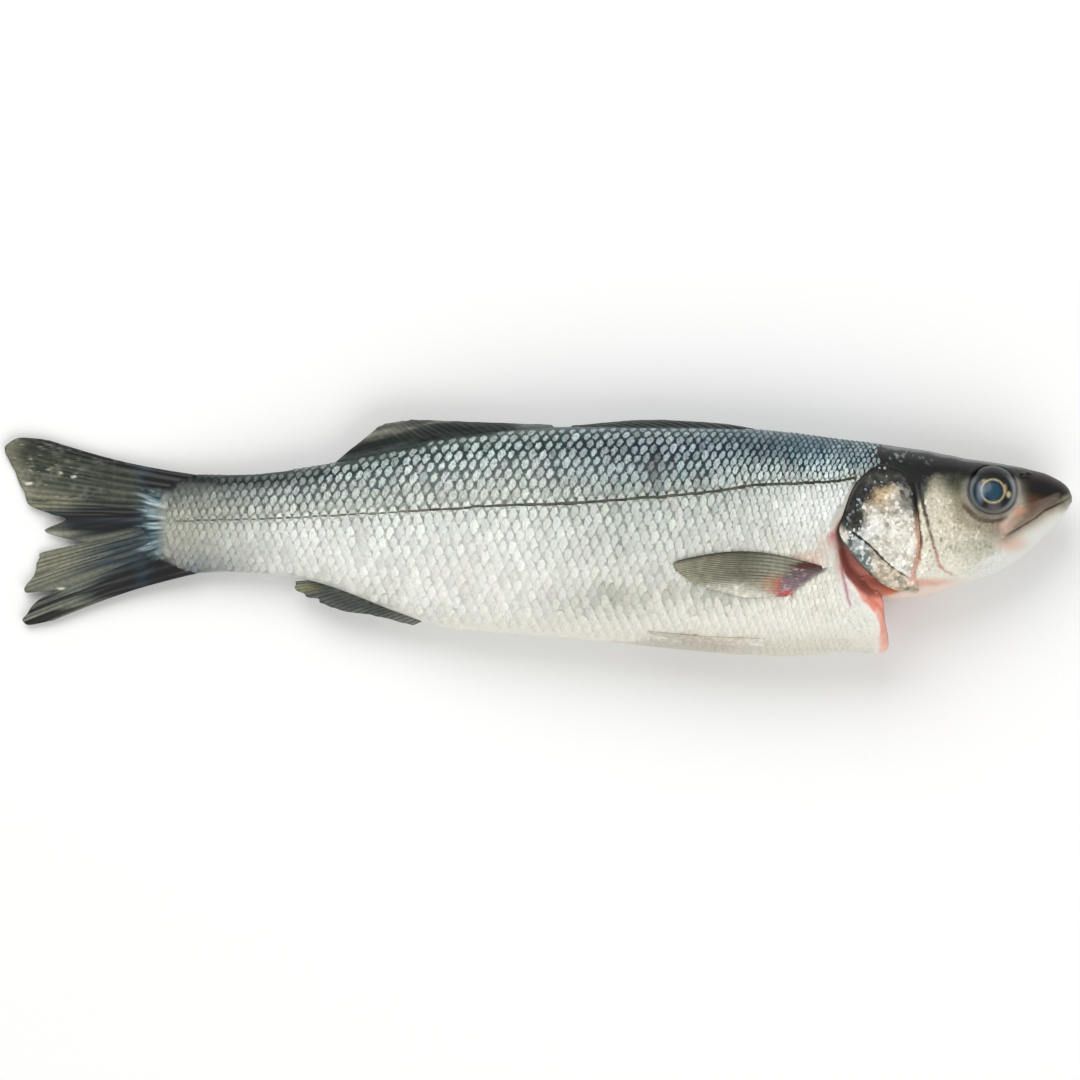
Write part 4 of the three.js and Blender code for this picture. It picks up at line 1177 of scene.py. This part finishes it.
# ---- Gill covers ------------------------------------------------------------------------------
COVER_PROUD = 0.9  # of the fish's side
COVER_THICKNESS = 1.8
GRAIN_PITCH = 1.3  # of the tiny scales on the head


def side_at(x, y, offset, is_right):
    """The level of the fish's side, moved out by offset; the left side stops at the floor."""
    out = side_height(x, y) + offset
    return middle_plane(x) + out if is_right else np.maximum(middle_plane(x) - out, COVER_PROUD - offset)


def cover_relief(x, y):
    far, _, side = from_line(x, y, COVER_SEAM)
    rise = 0.1 * mottle(x, y, 3, 31) + 0.07 * mottle(x, y, 1.3, 32)
    rise -= 0.55 * hump(far, 0.5) + 0.3 * step(far * side, -0.4, 0.8) * hump(far, 6)
    near_hinge = off_line(x, y, COVER_HINGE)
    rise += 0.35 * hump(near_hinge - 2.2, 1.4) - 0.4 * hump(near_hinge, 0.8)
    for tip in [(86, 4.6), (84.4, 9.8)]:
        rise += 0.35 * hump(off_line(x, y, [(73, 8), tip]), 1.1) * step(x, 72, 80)
    return rise + 0.3 * blob(x, y, (71, 15.2), (5, 5), 1.4)


def make_gill_cover(is_right):
    outline = smooth_path(COVER_OUTLINE, 10, closed=True)
    middle = np.mean(COVER_OUTLINE, 0)
    shares = 1 - (1 - np.linspace(0.01, 1, 64)) ** 1.15
    x, y = np.moveaxis(middle + (outline - middle) * shares[:, None, None], -1, 0)
    roll = np.clip((shares[:, None] - 0.93) / 0.07, 0, 1)
    offset = COVER_PROUD * 0.75 + cover_relief(x, y) * (1 - roll**3) - 0.7 * (1 - np.sqrt(1 - roll**2 * 0.98))
    outer = np.dstack([x, y, side_at(x, y, offset, is_right)])
    x, y = np.moveaxis(middle + (outline - middle) * shares[::-8, None, None], -1, 0)
    inner = np.dstack([x, y, side_at(x, y, COVER_PROUD - COVER_THICKNESS, is_right)])
    grid = on_floor(np.concatenate([outer, inner])[::-1])
    paint = cover_paint(grid[..., 0], grid[..., 1])
    paint[: len(inner)] = linear("#b4645a")
    piece = closed_skin(sided("gill_cover_skin", is_right), grid, {
        "paint": paint, "speckle": 0 * grid[..., 0] + 0.7,
    })
    hand_over(piece, sided("gill_cover", is_right), SKIN)


def make_head_scales(is_right):
    """The tiny scales of the cheek and the gill cover, silver and grey, and blue-white on the black."""
    rng = np.random.default_rng(12 if is_right else 13)
    grid = np.meshgrid(np.arange(24, 90, GRAIN_PITCH), np.arange(-20, 34, GRAIN_PITCH))
    x, y = ((at + rng.uniform(-0.5, 0.5, at.shape) * GRAIN_PITCH).ravel() for at in grid)
    rim = inside(x, y, COVER_OUTLINE)
    cheek = (rim < -0.6) & (x < 57) & (y > 8 - 0.62 * (x - 22)) & (y < 23) & (y > -13.5) & (x + 0.5 * y > 30)
    cheek &= np.hypot(x - EYE[0], y - EYE[1]) > EYE_RADIUS + 3.4
    cheek &= (off_line(x, y, CHEEK_EDGE) > 0.7) & (off_line(x, y, COVER_HINGE) > 0.9)
    on_cover = (rim > 1.4) & (off_line(x, y, COVER_SEAM) > 0.9)
    keep = cheek | on_cover
    x, y, on_cover = x[keep], y[keep], on_cover[keep]
    count = len(x)
    paint = np.where(on_cover[:, None], cover_paint(x, y), head_paint(x, y))
    chance = rng.uniform(0, 1, count)
    tone = paint.mean(1)
    paint = paint * (1 + 0.1 * rng.normal(0, 1, (count, 1)) + 0.015 * rng.normal(0, 1, (count, 3)))
    paint = layers(x, y, paint, [
        ("#aebdc5", rng.uniform(0.2, 0.9, count) * (chance < 0.3) * (tone < 0.12) * on_cover),
        ("#d5dedf", 0.85 * (chance < 0.45) * (x > 74) * (y < 4.5) * on_cover),
        ("#f6f5ee", np.where(on_cover, 0.6, 0.35) * (chance > 0.72) * (tone > 0.4)),
        ("#8d8c7c", 0.5 * (chance < 0.12) * (tone > 0.25)),
    ])
    wide = GRAIN_PITCH * rng.uniform(0.6, 1.15, count) * np.where(
        on_cover, np.where(tone > 0.12, 1.25, 0.8), 1,
    )
    size = np.stack([wide, wide * rng.uniform(0.8, 1.5, count), rng.uniform(0.3, 0.9, count)], -1)
    lift = np.where(on_cover, COVER_PROUD * 0.75 + cover_relief(x, y), relief(x, y, middle_plane(x) + 10))
    attributes = {"spread": size, "paint": paint, "speckle": 0.5 + 0 * y}
    mesh = laid_plates(ONE_GRAIN, x, y, attributes, 0.06, 15, SKIN)
    skin = np.repeat(side_at(x, y, lift, is_right), len(mesh.vertices) // count)

    def place(x, y, height):
        return np.stack([x, y, np.maximum(skin + height * (1 if is_right else -1), 0)], -1)

    wrap("head_scales", mesh, place, is_right)


# ---- Eyes -------------------------------------------------------------------------------------
EYE_FLATNESS = 0.62
LOOKS_UP, LOOKS_AHEAD = 0.34, 0.13  # how far the eye is turned, in radians


def eye_paint(x, y):
    """Pupil, a thin gold ring, a blue-black iris with a painted reflection on it, and the grey rim under the
    clear skin.
    """
    x, y = x - EYE[0], y - EYE[1]
    far = np.hypot(x, y + 0.3)
    colour = ramp(far, {
        0: "#2f4a58", 2.6: "#31495a", 3.7: "#22323e", 4: "#5f5a4c", 4.3: "#c2b896", 4.6: "#857c60",
        4.9: "#20272b", 6.2: "#1a2127", 7: "#2d373d", 7.6: "#6b7579", 8.3: "#8b8f90", 9.4: "#7c7772",
    })
    return layers(x, y, colour, [
        # a painted reflection: a pale blue glint on the iris, on the side away from the snout
        ("#8fa3b4", 0.5, (4.6, -1), (1.4, 3.4), 1.4),
        ("#c9b98e", 0.9, (-5.9, -1.6), (0.8, 1.1), 1.2),
        ("#b9a677", 0.7, (-4.6, 0.6), (0.6, 1.6), 1.2),
        ("#a2946c", 0.7, (3.3, 3.4), (0.9, 0.7), 1.2),
        ("#121618", 0.92 * step(y + 0.3, 3, 6.5) * step(far, 5, 6.5)),
        ("#7b6f63", 0.5 * step(y + 0.3, -5, -7.5)),
    ])


def make_eye(is_right):
    side = 1 if is_right else -1
    polar = np.linspace(0, np.pi, 56)[:, None]
    around = np.linspace(0, 2 * np.pi, 96, endpoint=False)[None]
    ball = EYE_RADIUS * np.stack([
        np.sin(polar) * np.cos(around), np.sin(polar) * np.sin(around),
        EYE_FLATNESS * np.cos(polar) * np.ones_like(around),
    ], -1)
    turn = Matrix.Rotation(side * LOOKS_AHEAD, 3, "Y") @ Matrix.Rotation(-side * LOOKS_UP, 3, "X")
    ball = ball @ np.array(turn).T
    x, y = EYE[0] - ball[..., 0], EYE[1] + ball[..., 1]
    middle = middle_plane(EYE[0]) + side * (side_height(*EYE) - EYE_SUNK)
    cornea = 0.3 * hump(np.hypot(x - EYE[0], y - EYE[1] + 0.3), 4.5) * (side * ball[..., 2] > 0)
    grid = on_floor(np.dstack([x, y, middle + ball[..., 2] + side * cornea]))
    piece = closed_skin(sided("eyeball", is_right), grid, {"paint": eye_paint(x, y)})
    hand_over(piece, sided("eye", is_right), WET_EYE)


# ---- Fins -------------------------------------------------------------------------------------
# A fin is a fan of rays. Each row is the share across it, the root (x, y) and the tip (x, y) of a ray.
TAIL_FIN = [
    (0, 327, 23.6, 383, 36.6), (0.02, 329, 23, 388, 37.5), (0.05, 331, 22, 394, 37.8),
    (0.08, 333, 21, 398.6, 36.4),
    (0.11, 335, 19.8, 400.2, 33.8), (0.2, 337, 16.6, 397.6, 27),
    (0.3, 338, 13.2, 393.5, 17.7), (0.375, 338.6, 10.8, 390.7, 12), (0.425, 339, 9, 383, 8.9),
    (0.45, 339, 8.2, 377, 6.9), (0.475, 339, 7.4, 385.3, 2.8), (0.5, 339, 6.6, 377, -0.3),
    (0.514, 339, 6.1, 367, -2),
    (0.525, 339, 5.8, 357, -2.9), (0.536, 339, 5.5, 370, -4.2), (0.55, 339, 5, 384.5, -5),
    (0.575, 339, 4.2, 387.2, -7.4), (0.675, 338.6, 1, 389.2, -13.8),
    (0.775, 338, -2.6, 392.4, -20.6), (0.8, 337.6, -3.6, 380, -19.8), (0.825, 337.2, -4.6, 387, -22.8),
    (0.875, 335.4, -7.6, 391.4, -27.6), (0.93, 332.8, -11, 393.8, -31.4), (0.96, 331, -12.4, 391.6, -32.8),
    (1, 328, -13.4, 382, -31),
]
SPINY_DORSAL_FIN = [
    (0, 104, 35.2, 116, 40.4), (0.2, 116, 36.2, 132, 43), (0.5, 132, 36.6, 158, 44.3),
    (0.8, 147, 37, 178, 43),
    (1, 158, 37.6, 190, 41.9),
]
SOFT_DORSAL_FIN = [
    (0, 188, 37.2, 195, 42.5), (0.25, 208, 35.8, 222, 43.4), (0.5, 226, 33.6, 244.3, 44.4),
    (0.75, 243, 30.8, 257, 43),
    (0.88, 252, 28.8, 262.4, 39.4), (1, 260, 26.8, 276, 28.4),
]
ANAL_FIN = [
    (0, 237, -28.6, 247, -32.9), (0.3, 250, -24.8, 262, -29), (0.5, 258, -21.6, 273.5, -27.2),
    (0.7, 265, -18.6, 282.5, -23.9), (0.85, 270, -16.6, 290, -20), (1, 275, -14.8, 292, -16.4),
]
PECTORAL_FIN = [
    (0, 96, -9.9, 148.6, -8.4), (0.08, 94.2, -10.5, 149.4, -9.2), (0.2, 94.4, -12.2, 149.8, -10.8),
    (0.4, 98, -15.2, 146.8, -14),
    (0.6, 101, -17.4, 141.8, -17), (0.8, 104.4, -19.6, 133, -19.8), (1, 107, -21.8, 123, -22.2),
]
PELVIC_FIN = [(0, 115, -37.6, 160, -34.6), (0.5, 115.4, -39, 157, -36.2), (1, 116, -40.4, 146, -38.2)]


def fin(
    name, side, fan, rays, cells, middle, thickness, paint, ragged, seed,
    bend=lambda along, across: 0, swell=0, deep=0.5,
):
    """A closed sheet over a fan. Each ray is a ridge that splits in two on its way to the tip."""
    columns, steps = cells
    across, along = np.meshgrid(np.linspace(0, 1, columns + 1), np.linspace(0, 1, steps + 1))
    fan = np.array(fan, float)
    root_x, root_y, tip_x, tip_y = (curve(fan[:, [0, k]])(across) for k in (1, 2, 3, 4))
    torn = 1 + mottle(across * rays * 2, 0 * along, 1, seed)
    torn = ragged * torn * (0.6 + 0.4 * mottle(across * 7, 0 * along, 1, seed + 1))
    reach = along * (1 - torn * along**4)
    x = root_x + (tip_x - root_x) * reach
    y = root_y + (tip_y - root_y) * reach + bend(along, across)
    whole = 0.5 - 0.5 * np.cos(2 * np.pi * rays * across)
    halves = 0.5 - 0.5 * np.cos(4 * np.pi * rays * across)
    ridge = whole + (halves - whole) * step(along, 0.35, 0.6)
    half = (thickness[0] + (thickness[1] - thickness[0]) * along) * (1 - deep + deep * ridge) / 2
    half = half + swell * hump(along, 0.22) / 2
    rim = np.minimum(1, np.minimum(across, 1 - across) * columns / 3 + 0.3)
    rim = rim * np.minimum(1, (1 - along) * steps / 2 + 0.35)
    level = middle(x, y, along) + 0.25 * mottle(across * rays / 2, along * 3, 1, seed + 2) * along
    points = on_floor(np.stack([np.dstack([x, y, level + up * half * rim]) for up in (1, -1)]), 0.02)
    wide = columns + 1
    total = wide * (steps + 1)
    faces = []
    for a in (i * wide + j for i in range(steps) for j in range(columns)):
        faces.append((a, a + 1, a + 1 + wide, a + wide))
        faces.append((total + a, total + a + wide, total + a + 1 + wide, total + a + 1))
    edge = [*range(columns), *range(columns, total - 1, wide), *range(total - 1, total - wide, -1)]
    edge += range(total - wide, 0, -wide)
    faces += [(a, total + a, total + b, b) for a, b in zip(edge, edge[1:] + edge[:1])]
    colour = paint(x, y, along, across, ridge).reshape(-1, 3)
    piece = new_object(
        name + "_skin" + side, place_of(points.reshape(-1, 3)), faces, {"paint": np.tile(colour, (2, 1))},
    )
    tidy_mesh(piece)
    hand_over(piece, name + side, FIN)


def ray_lines(colour, across, along, ridge, rays, dark, pale, seed, strong=1.0):
    """Draws the rays on a fin: thin dark lines beside pale ones, each with its own strength."""
    strength = 0.5 + 0.5 * mottle(across * rays, along * 2.5, 1, seed)
    colour = over(colour, dark, 0.75 * strong * (1 - ridge) ** 2 * (0.35 + 0.65 * strength))
    return over(colour, pale, 0.6 * strong * ridge**2 * step(
        mottle(across * rays * 1.3, along * 4, 1, seed + 1), 0, 0.8,
    ))


def tail_paint(x, y, along, across, ridge):
    colour = ramp(across, {
        0: "#14191a", 0.04: "#20262a", 0.09: "#3d4138", 0.28: "#494c41", 0.36: "#5c5d4c", 0.41: "#343e3d",
        0.45: "#1d2b35", 0.48: "#343f42", 0.5: "#565a54", 0.53: "#6a6d63", 0.62: "#62655a", 0.74: "#565a53",
        0.84: "#666a60", 0.93: "#75786b", 0.98: "#757868", 1: "#5f6359",
    })
    blot, fine = mottle(x, y, 2.6, 43), mottle(x, y, 0.9, 45)
    upper = step(across, 0.4, 0.3)
    colour = layers(x, y, colour, [
        ("#2f332b", 0.6 * step(blot + 0.7 * fine, 0.1, 0.9) * upper * step(across, 0.03, 0.08)),
        ("#75756a", 0.6 * step(-blot + 0.7 * fine, 0.3, 1.1) * upper * step(along, 0.25, 0.6)),
        ("#84846a", 0.8 * step(along, 0.55, 0.85) * hump(across - 0.34, 0.06) * (0.7 + 0.4 * fine)),
        ("#a9a997", 0.8 * step(along, 0.55, 0.95) * hump(across - 0.485, 0.022)),
        ("#8b8b76", 0.65 * step(along, 0.5, 0.85) * step(across, 0.52, 0.58) * step(across, 0.84, 0.72)),
        ("#38444a", 0.8 * step(along, 0.72, 0.38) * step(across, 0.54, 0.6)),
        ("#93937f", 0.6 * step(along, 0.86, 1) * step(across, 0.03, 0.1) * step(across, 0.42, 0.34)),
    ])
    strong = 0.25 + 0.75 * step(across, 0.25, 0.4)
    colour = ray_lines(colour, across, along, ridge, 18, "#15191a", "#8f8e7c", 42, strong)
    colour = over(colour, "#0a1216", 0.9 * step(along, 0.7, 0.5) * step(
        across + 0.1 * (1 - along), 0.86, 0.94,
    ))
    night = blob(x, y, (362, 6.8), (19, 6.2), 1) * step(across, 0.52, 0.49)
    colour = layers(x, y, colour, [
        ("#101c26", 0.85 * night),
        ("#34454d", 0.45 * step(ridge, 0.2, 0.8), (360, 6), (13, 1.4), 1.4),
    ])
    slits = step(mottle(across * 50, along * 2.2, 1, 46), 0.5, 0.8) * step(along, 0.3, 0.6) * step(
        across, 0.2, 0.3,
    )
    colour = over(colour, "#0c1010", 0.85 * slits)
    flecks = step(mottle(x * 1.3, y * 1.6, 1, 44), 0.66, 0.85) * step(along, 0.4, 0.8) * step(
        across, 0.38, 0.32,
    )
    colour = over(colour, "#b3b3a0", 0.6 * flecks)
    for place, size in [((378.9, 24.4), 0.7), ((378.6, -19), 1.4), ((391, 20.5), 1.4), ((374, 23), 1)]:
        colour = over(colour, "#d9d8c6", 0.85 * blob(x, y + 0.2 * fine, place, (size, 0.5), 0.9))
    return over(colour, tail_root_paint(x, y), step(x, 355, 345))


def dorsal_paint(x, y, along, across, ridge):
    high = y - back(x)
    colour = ramp(high, {
        -0.6: "#5c6460", 1.4: "#4e534f", 2.5: "#2b302e", 4.4: "#2f3431", 6: "#5c5e55", 7.4: "#85867a",
        9: "#707166",
    })
    colour = layers(x, y, colour, [
        ("#2f3431", 0.7 * step(x, 254, 243)),
        ("#707572", 0.8 * step(x, 214, 205)),
    ])
    # The fin lies back, so its rays run close to its upper edge.
    streak = mottle(x * 0.1, high * 1.5, 1, 52)
    colour = layers(x, y, colour, [
        ("#1d2223", 0.6 * step(streak, 0, 0.7)),
        ("#a3a493", 0.5 * step(-streak, 0.25, 0.8) * step(high, 4.5, 6.5)),
    ])
    return ray_lines(colour, across, along, ridge, 12, "#22272a", "#7f7f70", 51, 0.3)


def spiny_paint(x, y, along, across, ridge):
    colour = ramp(along, {0: "#565e5a", 0.4: "#565c59", 0.75: "#4b504d", 1: "#565c57"})
    return ray_lines(colour, across, along, ridge, 9, "#22272a", "#6c716b", 61)


def anal_paint(x, y, along, across, ridge):
    colour = ramp(along, {0: "#8c8d83", 0.3: "#54574f", 0.7: "#434744", 1: "#5d5f58"})
    colour = layers(x, y, colour, [
        ("#87865f", 0.75 * step(across, 0.75, 0.9) * step(along, 0.45, 0.75) * step(across, 0.99, 0.93)),
        ("#83847b", 0.7 * step(across, 0.35, 0.1)),
    ])
    return ray_lines(colour, across, along, ridge, 11, "#2b2f2e", "#8b8d83", 71)


def pectoral_paint(x, y, along, across, ridge):
    fine, grain = mottle(x, y, 0.9, 84), mottle(x, y, 2, 85)
    colour = ramp(across, {
        0: "#3f4136", 0.08: "#5d5e50", 0.3: "#747463", 0.5: "#7d7b69", 0.64: "#8f8c79", 0.78: "#adaa99",
        0.9: "#c9c7ba", 1: "#dcdbd1",
    })
    colour = layers(x, y, colour, [
        ("#a8a695", 0.55 * step(along, 0.5, 0.25) * step(across, 0.8, 0.5)),
        ("#b1ad93", 0.65 * step(along, 0.5, 0.85) * step(across, 0.03, 0.2)),
        ("#d5d3c4", 0.7 * step(along, 0.48, 0.75) * step(across, 0.45, 0.8)),
    ])
    wavy = along + 0.03 * mottle(across * 9, along * 3, 1, 83)
    bands = sum(hump((wavy - at) * 22, 1) for at in (0.55, 0.66, 0.77, 0.88))
    colour = over(colour, "#4a4430", 0.38 * bands * step(across, 0.8, 0.55))
    thin = step(across, 0.9, 0.5)
    strength = 0.6 + 0.4 * mottle(across * 8, along * 4, 1, 82)
    colour = layers(x, y, colour, [
        ("#25261e", 0.92 * (1 - ridge) ** 1.3 * thin * strength),
        ("#abaa97", 0.5 * ridge**3 * thin * strength),
        ("#26271f", 0.85 * hump(across, 0.04) * step(along, 0.1, 0.3)),
        # Where the thin lower part lies on the flank, the scales under it show through.
        ("#f1f0ea", 0.5 * step(across, 0.6, 0.8) * step(fine + grain, 0.2, 0.9)),
        ("#aaa79b", 0.45 * step(across, 0.55, 0.75) * step(-fine - grain, 0.3, 1)),
        # The fleshy root: purple-grey with pale flecks, and raw red at its rear corner.
        ("#a98a70", 0.85, (112, -17.6), (4.4, 3.6), 1.5, grain),
        ("#c0614f", 0.85, (109, -18.6), (2.6, 3.4), 1.4, 0.6 * grain),
    ])
    base = step(off_line(x, y, PECTORAL_ROOT) + 0.8 * grain + 0.5 * fine, 6.2, 3.4)
    flesh = ramp(y + fine, {-21: "#9c6466", -18.4: "#8a767c", -15: "#75656a", -12: "#5f4a4b", -9: "#5a3d34"})
    colour = layers(x, y, colour, [
        (flesh, 0.9 * base),
        ("#c9b9be", 0.7 * base * step(fine - 0.4 * grain, 0.45, 0.9)),
        ("#cb625c", 0.85, (106.6, -20.8), (2.6, 1.4), 1.6, 0.3 * fine),
        ("#55302a", 0.85, (100.5, -10.3), (6, 1.1), 1.3),
    ])
    return over(colour, "#bdb5ab", 0.75 * step(along + 0.01 * fine, 0.03, 0) * step(across, 0.15, 0.4))


def pelvic_paint(x, y, along, across, ridge):
    colour = ramp(along, {0: "#e4e1d5", 0.3: "#d3cdbf", 0.6: "#c7c0b3", 1: "#ccc7b9"})
    return over(colour, "#c2b8a6", 0.3 * (1 - ridge) ** 2 + 0.3 * hump(across, 0.06))


def on_middle(sway):
    """The level of a fin that stands in the middle plane of the fish, swaying towards its tip."""
    return lambda x, y, along: middle_plane(x) + sway * along * np.sin(y / 5)


def on_side(is_right, thickness, lift):
    """The level of a fin that lies flat against the side of the fish."""

    def middle(x, y, along):
        out = side_height(x, y) + (lift + thickness / 2) * step(along, -0.06, 0.12)
        return middle_plane(x) + out if is_right else np.maximum(thickness / 2, middle_plane(x) - out)

    return middle


def make_fins():
    fin(
        "tail_fin", "", TAIL_FIN, 18, (288, 60), on_middle(0.9), (1.8, 0.5), tail_paint, 0.012, 3,
        lambda along,
        across: np.where(across < 0.5, -1, 1) * 3 * np.abs(across - 0.5) * np.sin(np.pi * along),
        swell=2.6, deep=0.3,
    )
    for name, fan, rays, cells, sway, thickness, paint, ragged, seed, deep in [
        ("spiny_dorsal_fin", SPINY_DORSAL_FIN, 9, (90, 16), 0.5, (2.2, 1), spiny_paint, 0.04, 4, 0.5),
        ("soft_dorsal_fin", SOFT_DORSAL_FIN, 12, (144, 24), 0.8, (2, 0.7), dorsal_paint, 0.03, 5, 0.15),
        ("anal_fin", ANAL_FIN, 11, (132, 24), 0.8, (2, 0.7), anal_paint, 0.06, 6, 0.5),
    ]:
        fin(
            name, "", fan, rays, cells, on_middle(sway), thickness, paint, ragged, seed,
            deep=deep,
        )
    for is_right in (True, False):
        side = sided("", is_right)
        fin(
            "pectoral_fin", side, PECTORAL_FIN, 14, (168, 60), on_side(is_right, 1.2, 0.7),
            (1.3, 0.5),
            pectoral_paint, 0.02, 7, lambda along, across: 4.2 * (1 - across) * np.sin(np.pi * along),
        )
        fin(
            "pelvic_fin", side, PELVIC_FIN, 6, (72, 40), on_side(is_right, 0.5, 0.25), (0.6, 0.3),
            pelvic_paint, 0.03, 8, lambda along, across: -0.6 * np.sin(np.pi * along),
        )


SCATTER = scatter_tree()
ONE_SCALE, ONE_PORE, ONE_GRAIN = scale_plate(), pore_plate(), grain_plate()
make_body()
make_fins()
for is_right in (True, False):
    make_scales(is_right)
    make_gill_cover(is_right)
    make_head_scales(is_right)
    make_eye(is_right)
for pattern in (ONE_SCALE, ONE_PORE, ONE_GRAIN):
    bpy.data.objects.remove(pattern)


# ---- Floor, light and camera ------------------------------------------------------------------
FIELD = 403.9 * MM  # width that is seen at the level of the fish's middle plane


def studio():
    """A pale floor in even, soft light, seen from straight above."""
    floor = new_object("floor", [(-3, -3, 0), (3, -3, 0), (3, 3, 0), (-3, 3, 0)], [(0, 1, 2, 3)])
    floor.data.materials.append(new_material("white paper", white_paper))
    for name, at, power in [("key", (-0.5, 1.3, 1.6), 27), ("fill", (0.6, -1.2, 1.5), 16)]:
        lamp = linked(name, bpy.data.lights.new(name, "AREA"))
        lamp.data.shape = "DISK"
        lamp.data.size = 1.8
        lamp.data.energy = power
        lamp.location = at
        lamp.rotation_euler = (-lamp.location).to_track_quat("-Z", "Y").to_euler()
    world = bpy.data.worlds.new("studio")
    world.use_nodes = True
    plug(world.node_tree, world.node_tree.nodes["Background"], {"Color": rgba("#ffffff"), "Strength": 0.47})
    bpy.context.scene.world = world
    bpy.context.scene.view_settings.view_transform = "Standard"


def overhead_camera():
    camera = linked("overhead", bpy.data.cameras.new("overhead"))
    camera.data.lens = 400
    camera.data.sensor_width = 36
    distance = FIELD * camera.data.lens / camera.data.sensor_width
    camera.location = (0.56 * MM, -0.75 * MM, distance + 20 * MM)
    bpy.context.scene.camera = camera


studio()
overhead_camera()
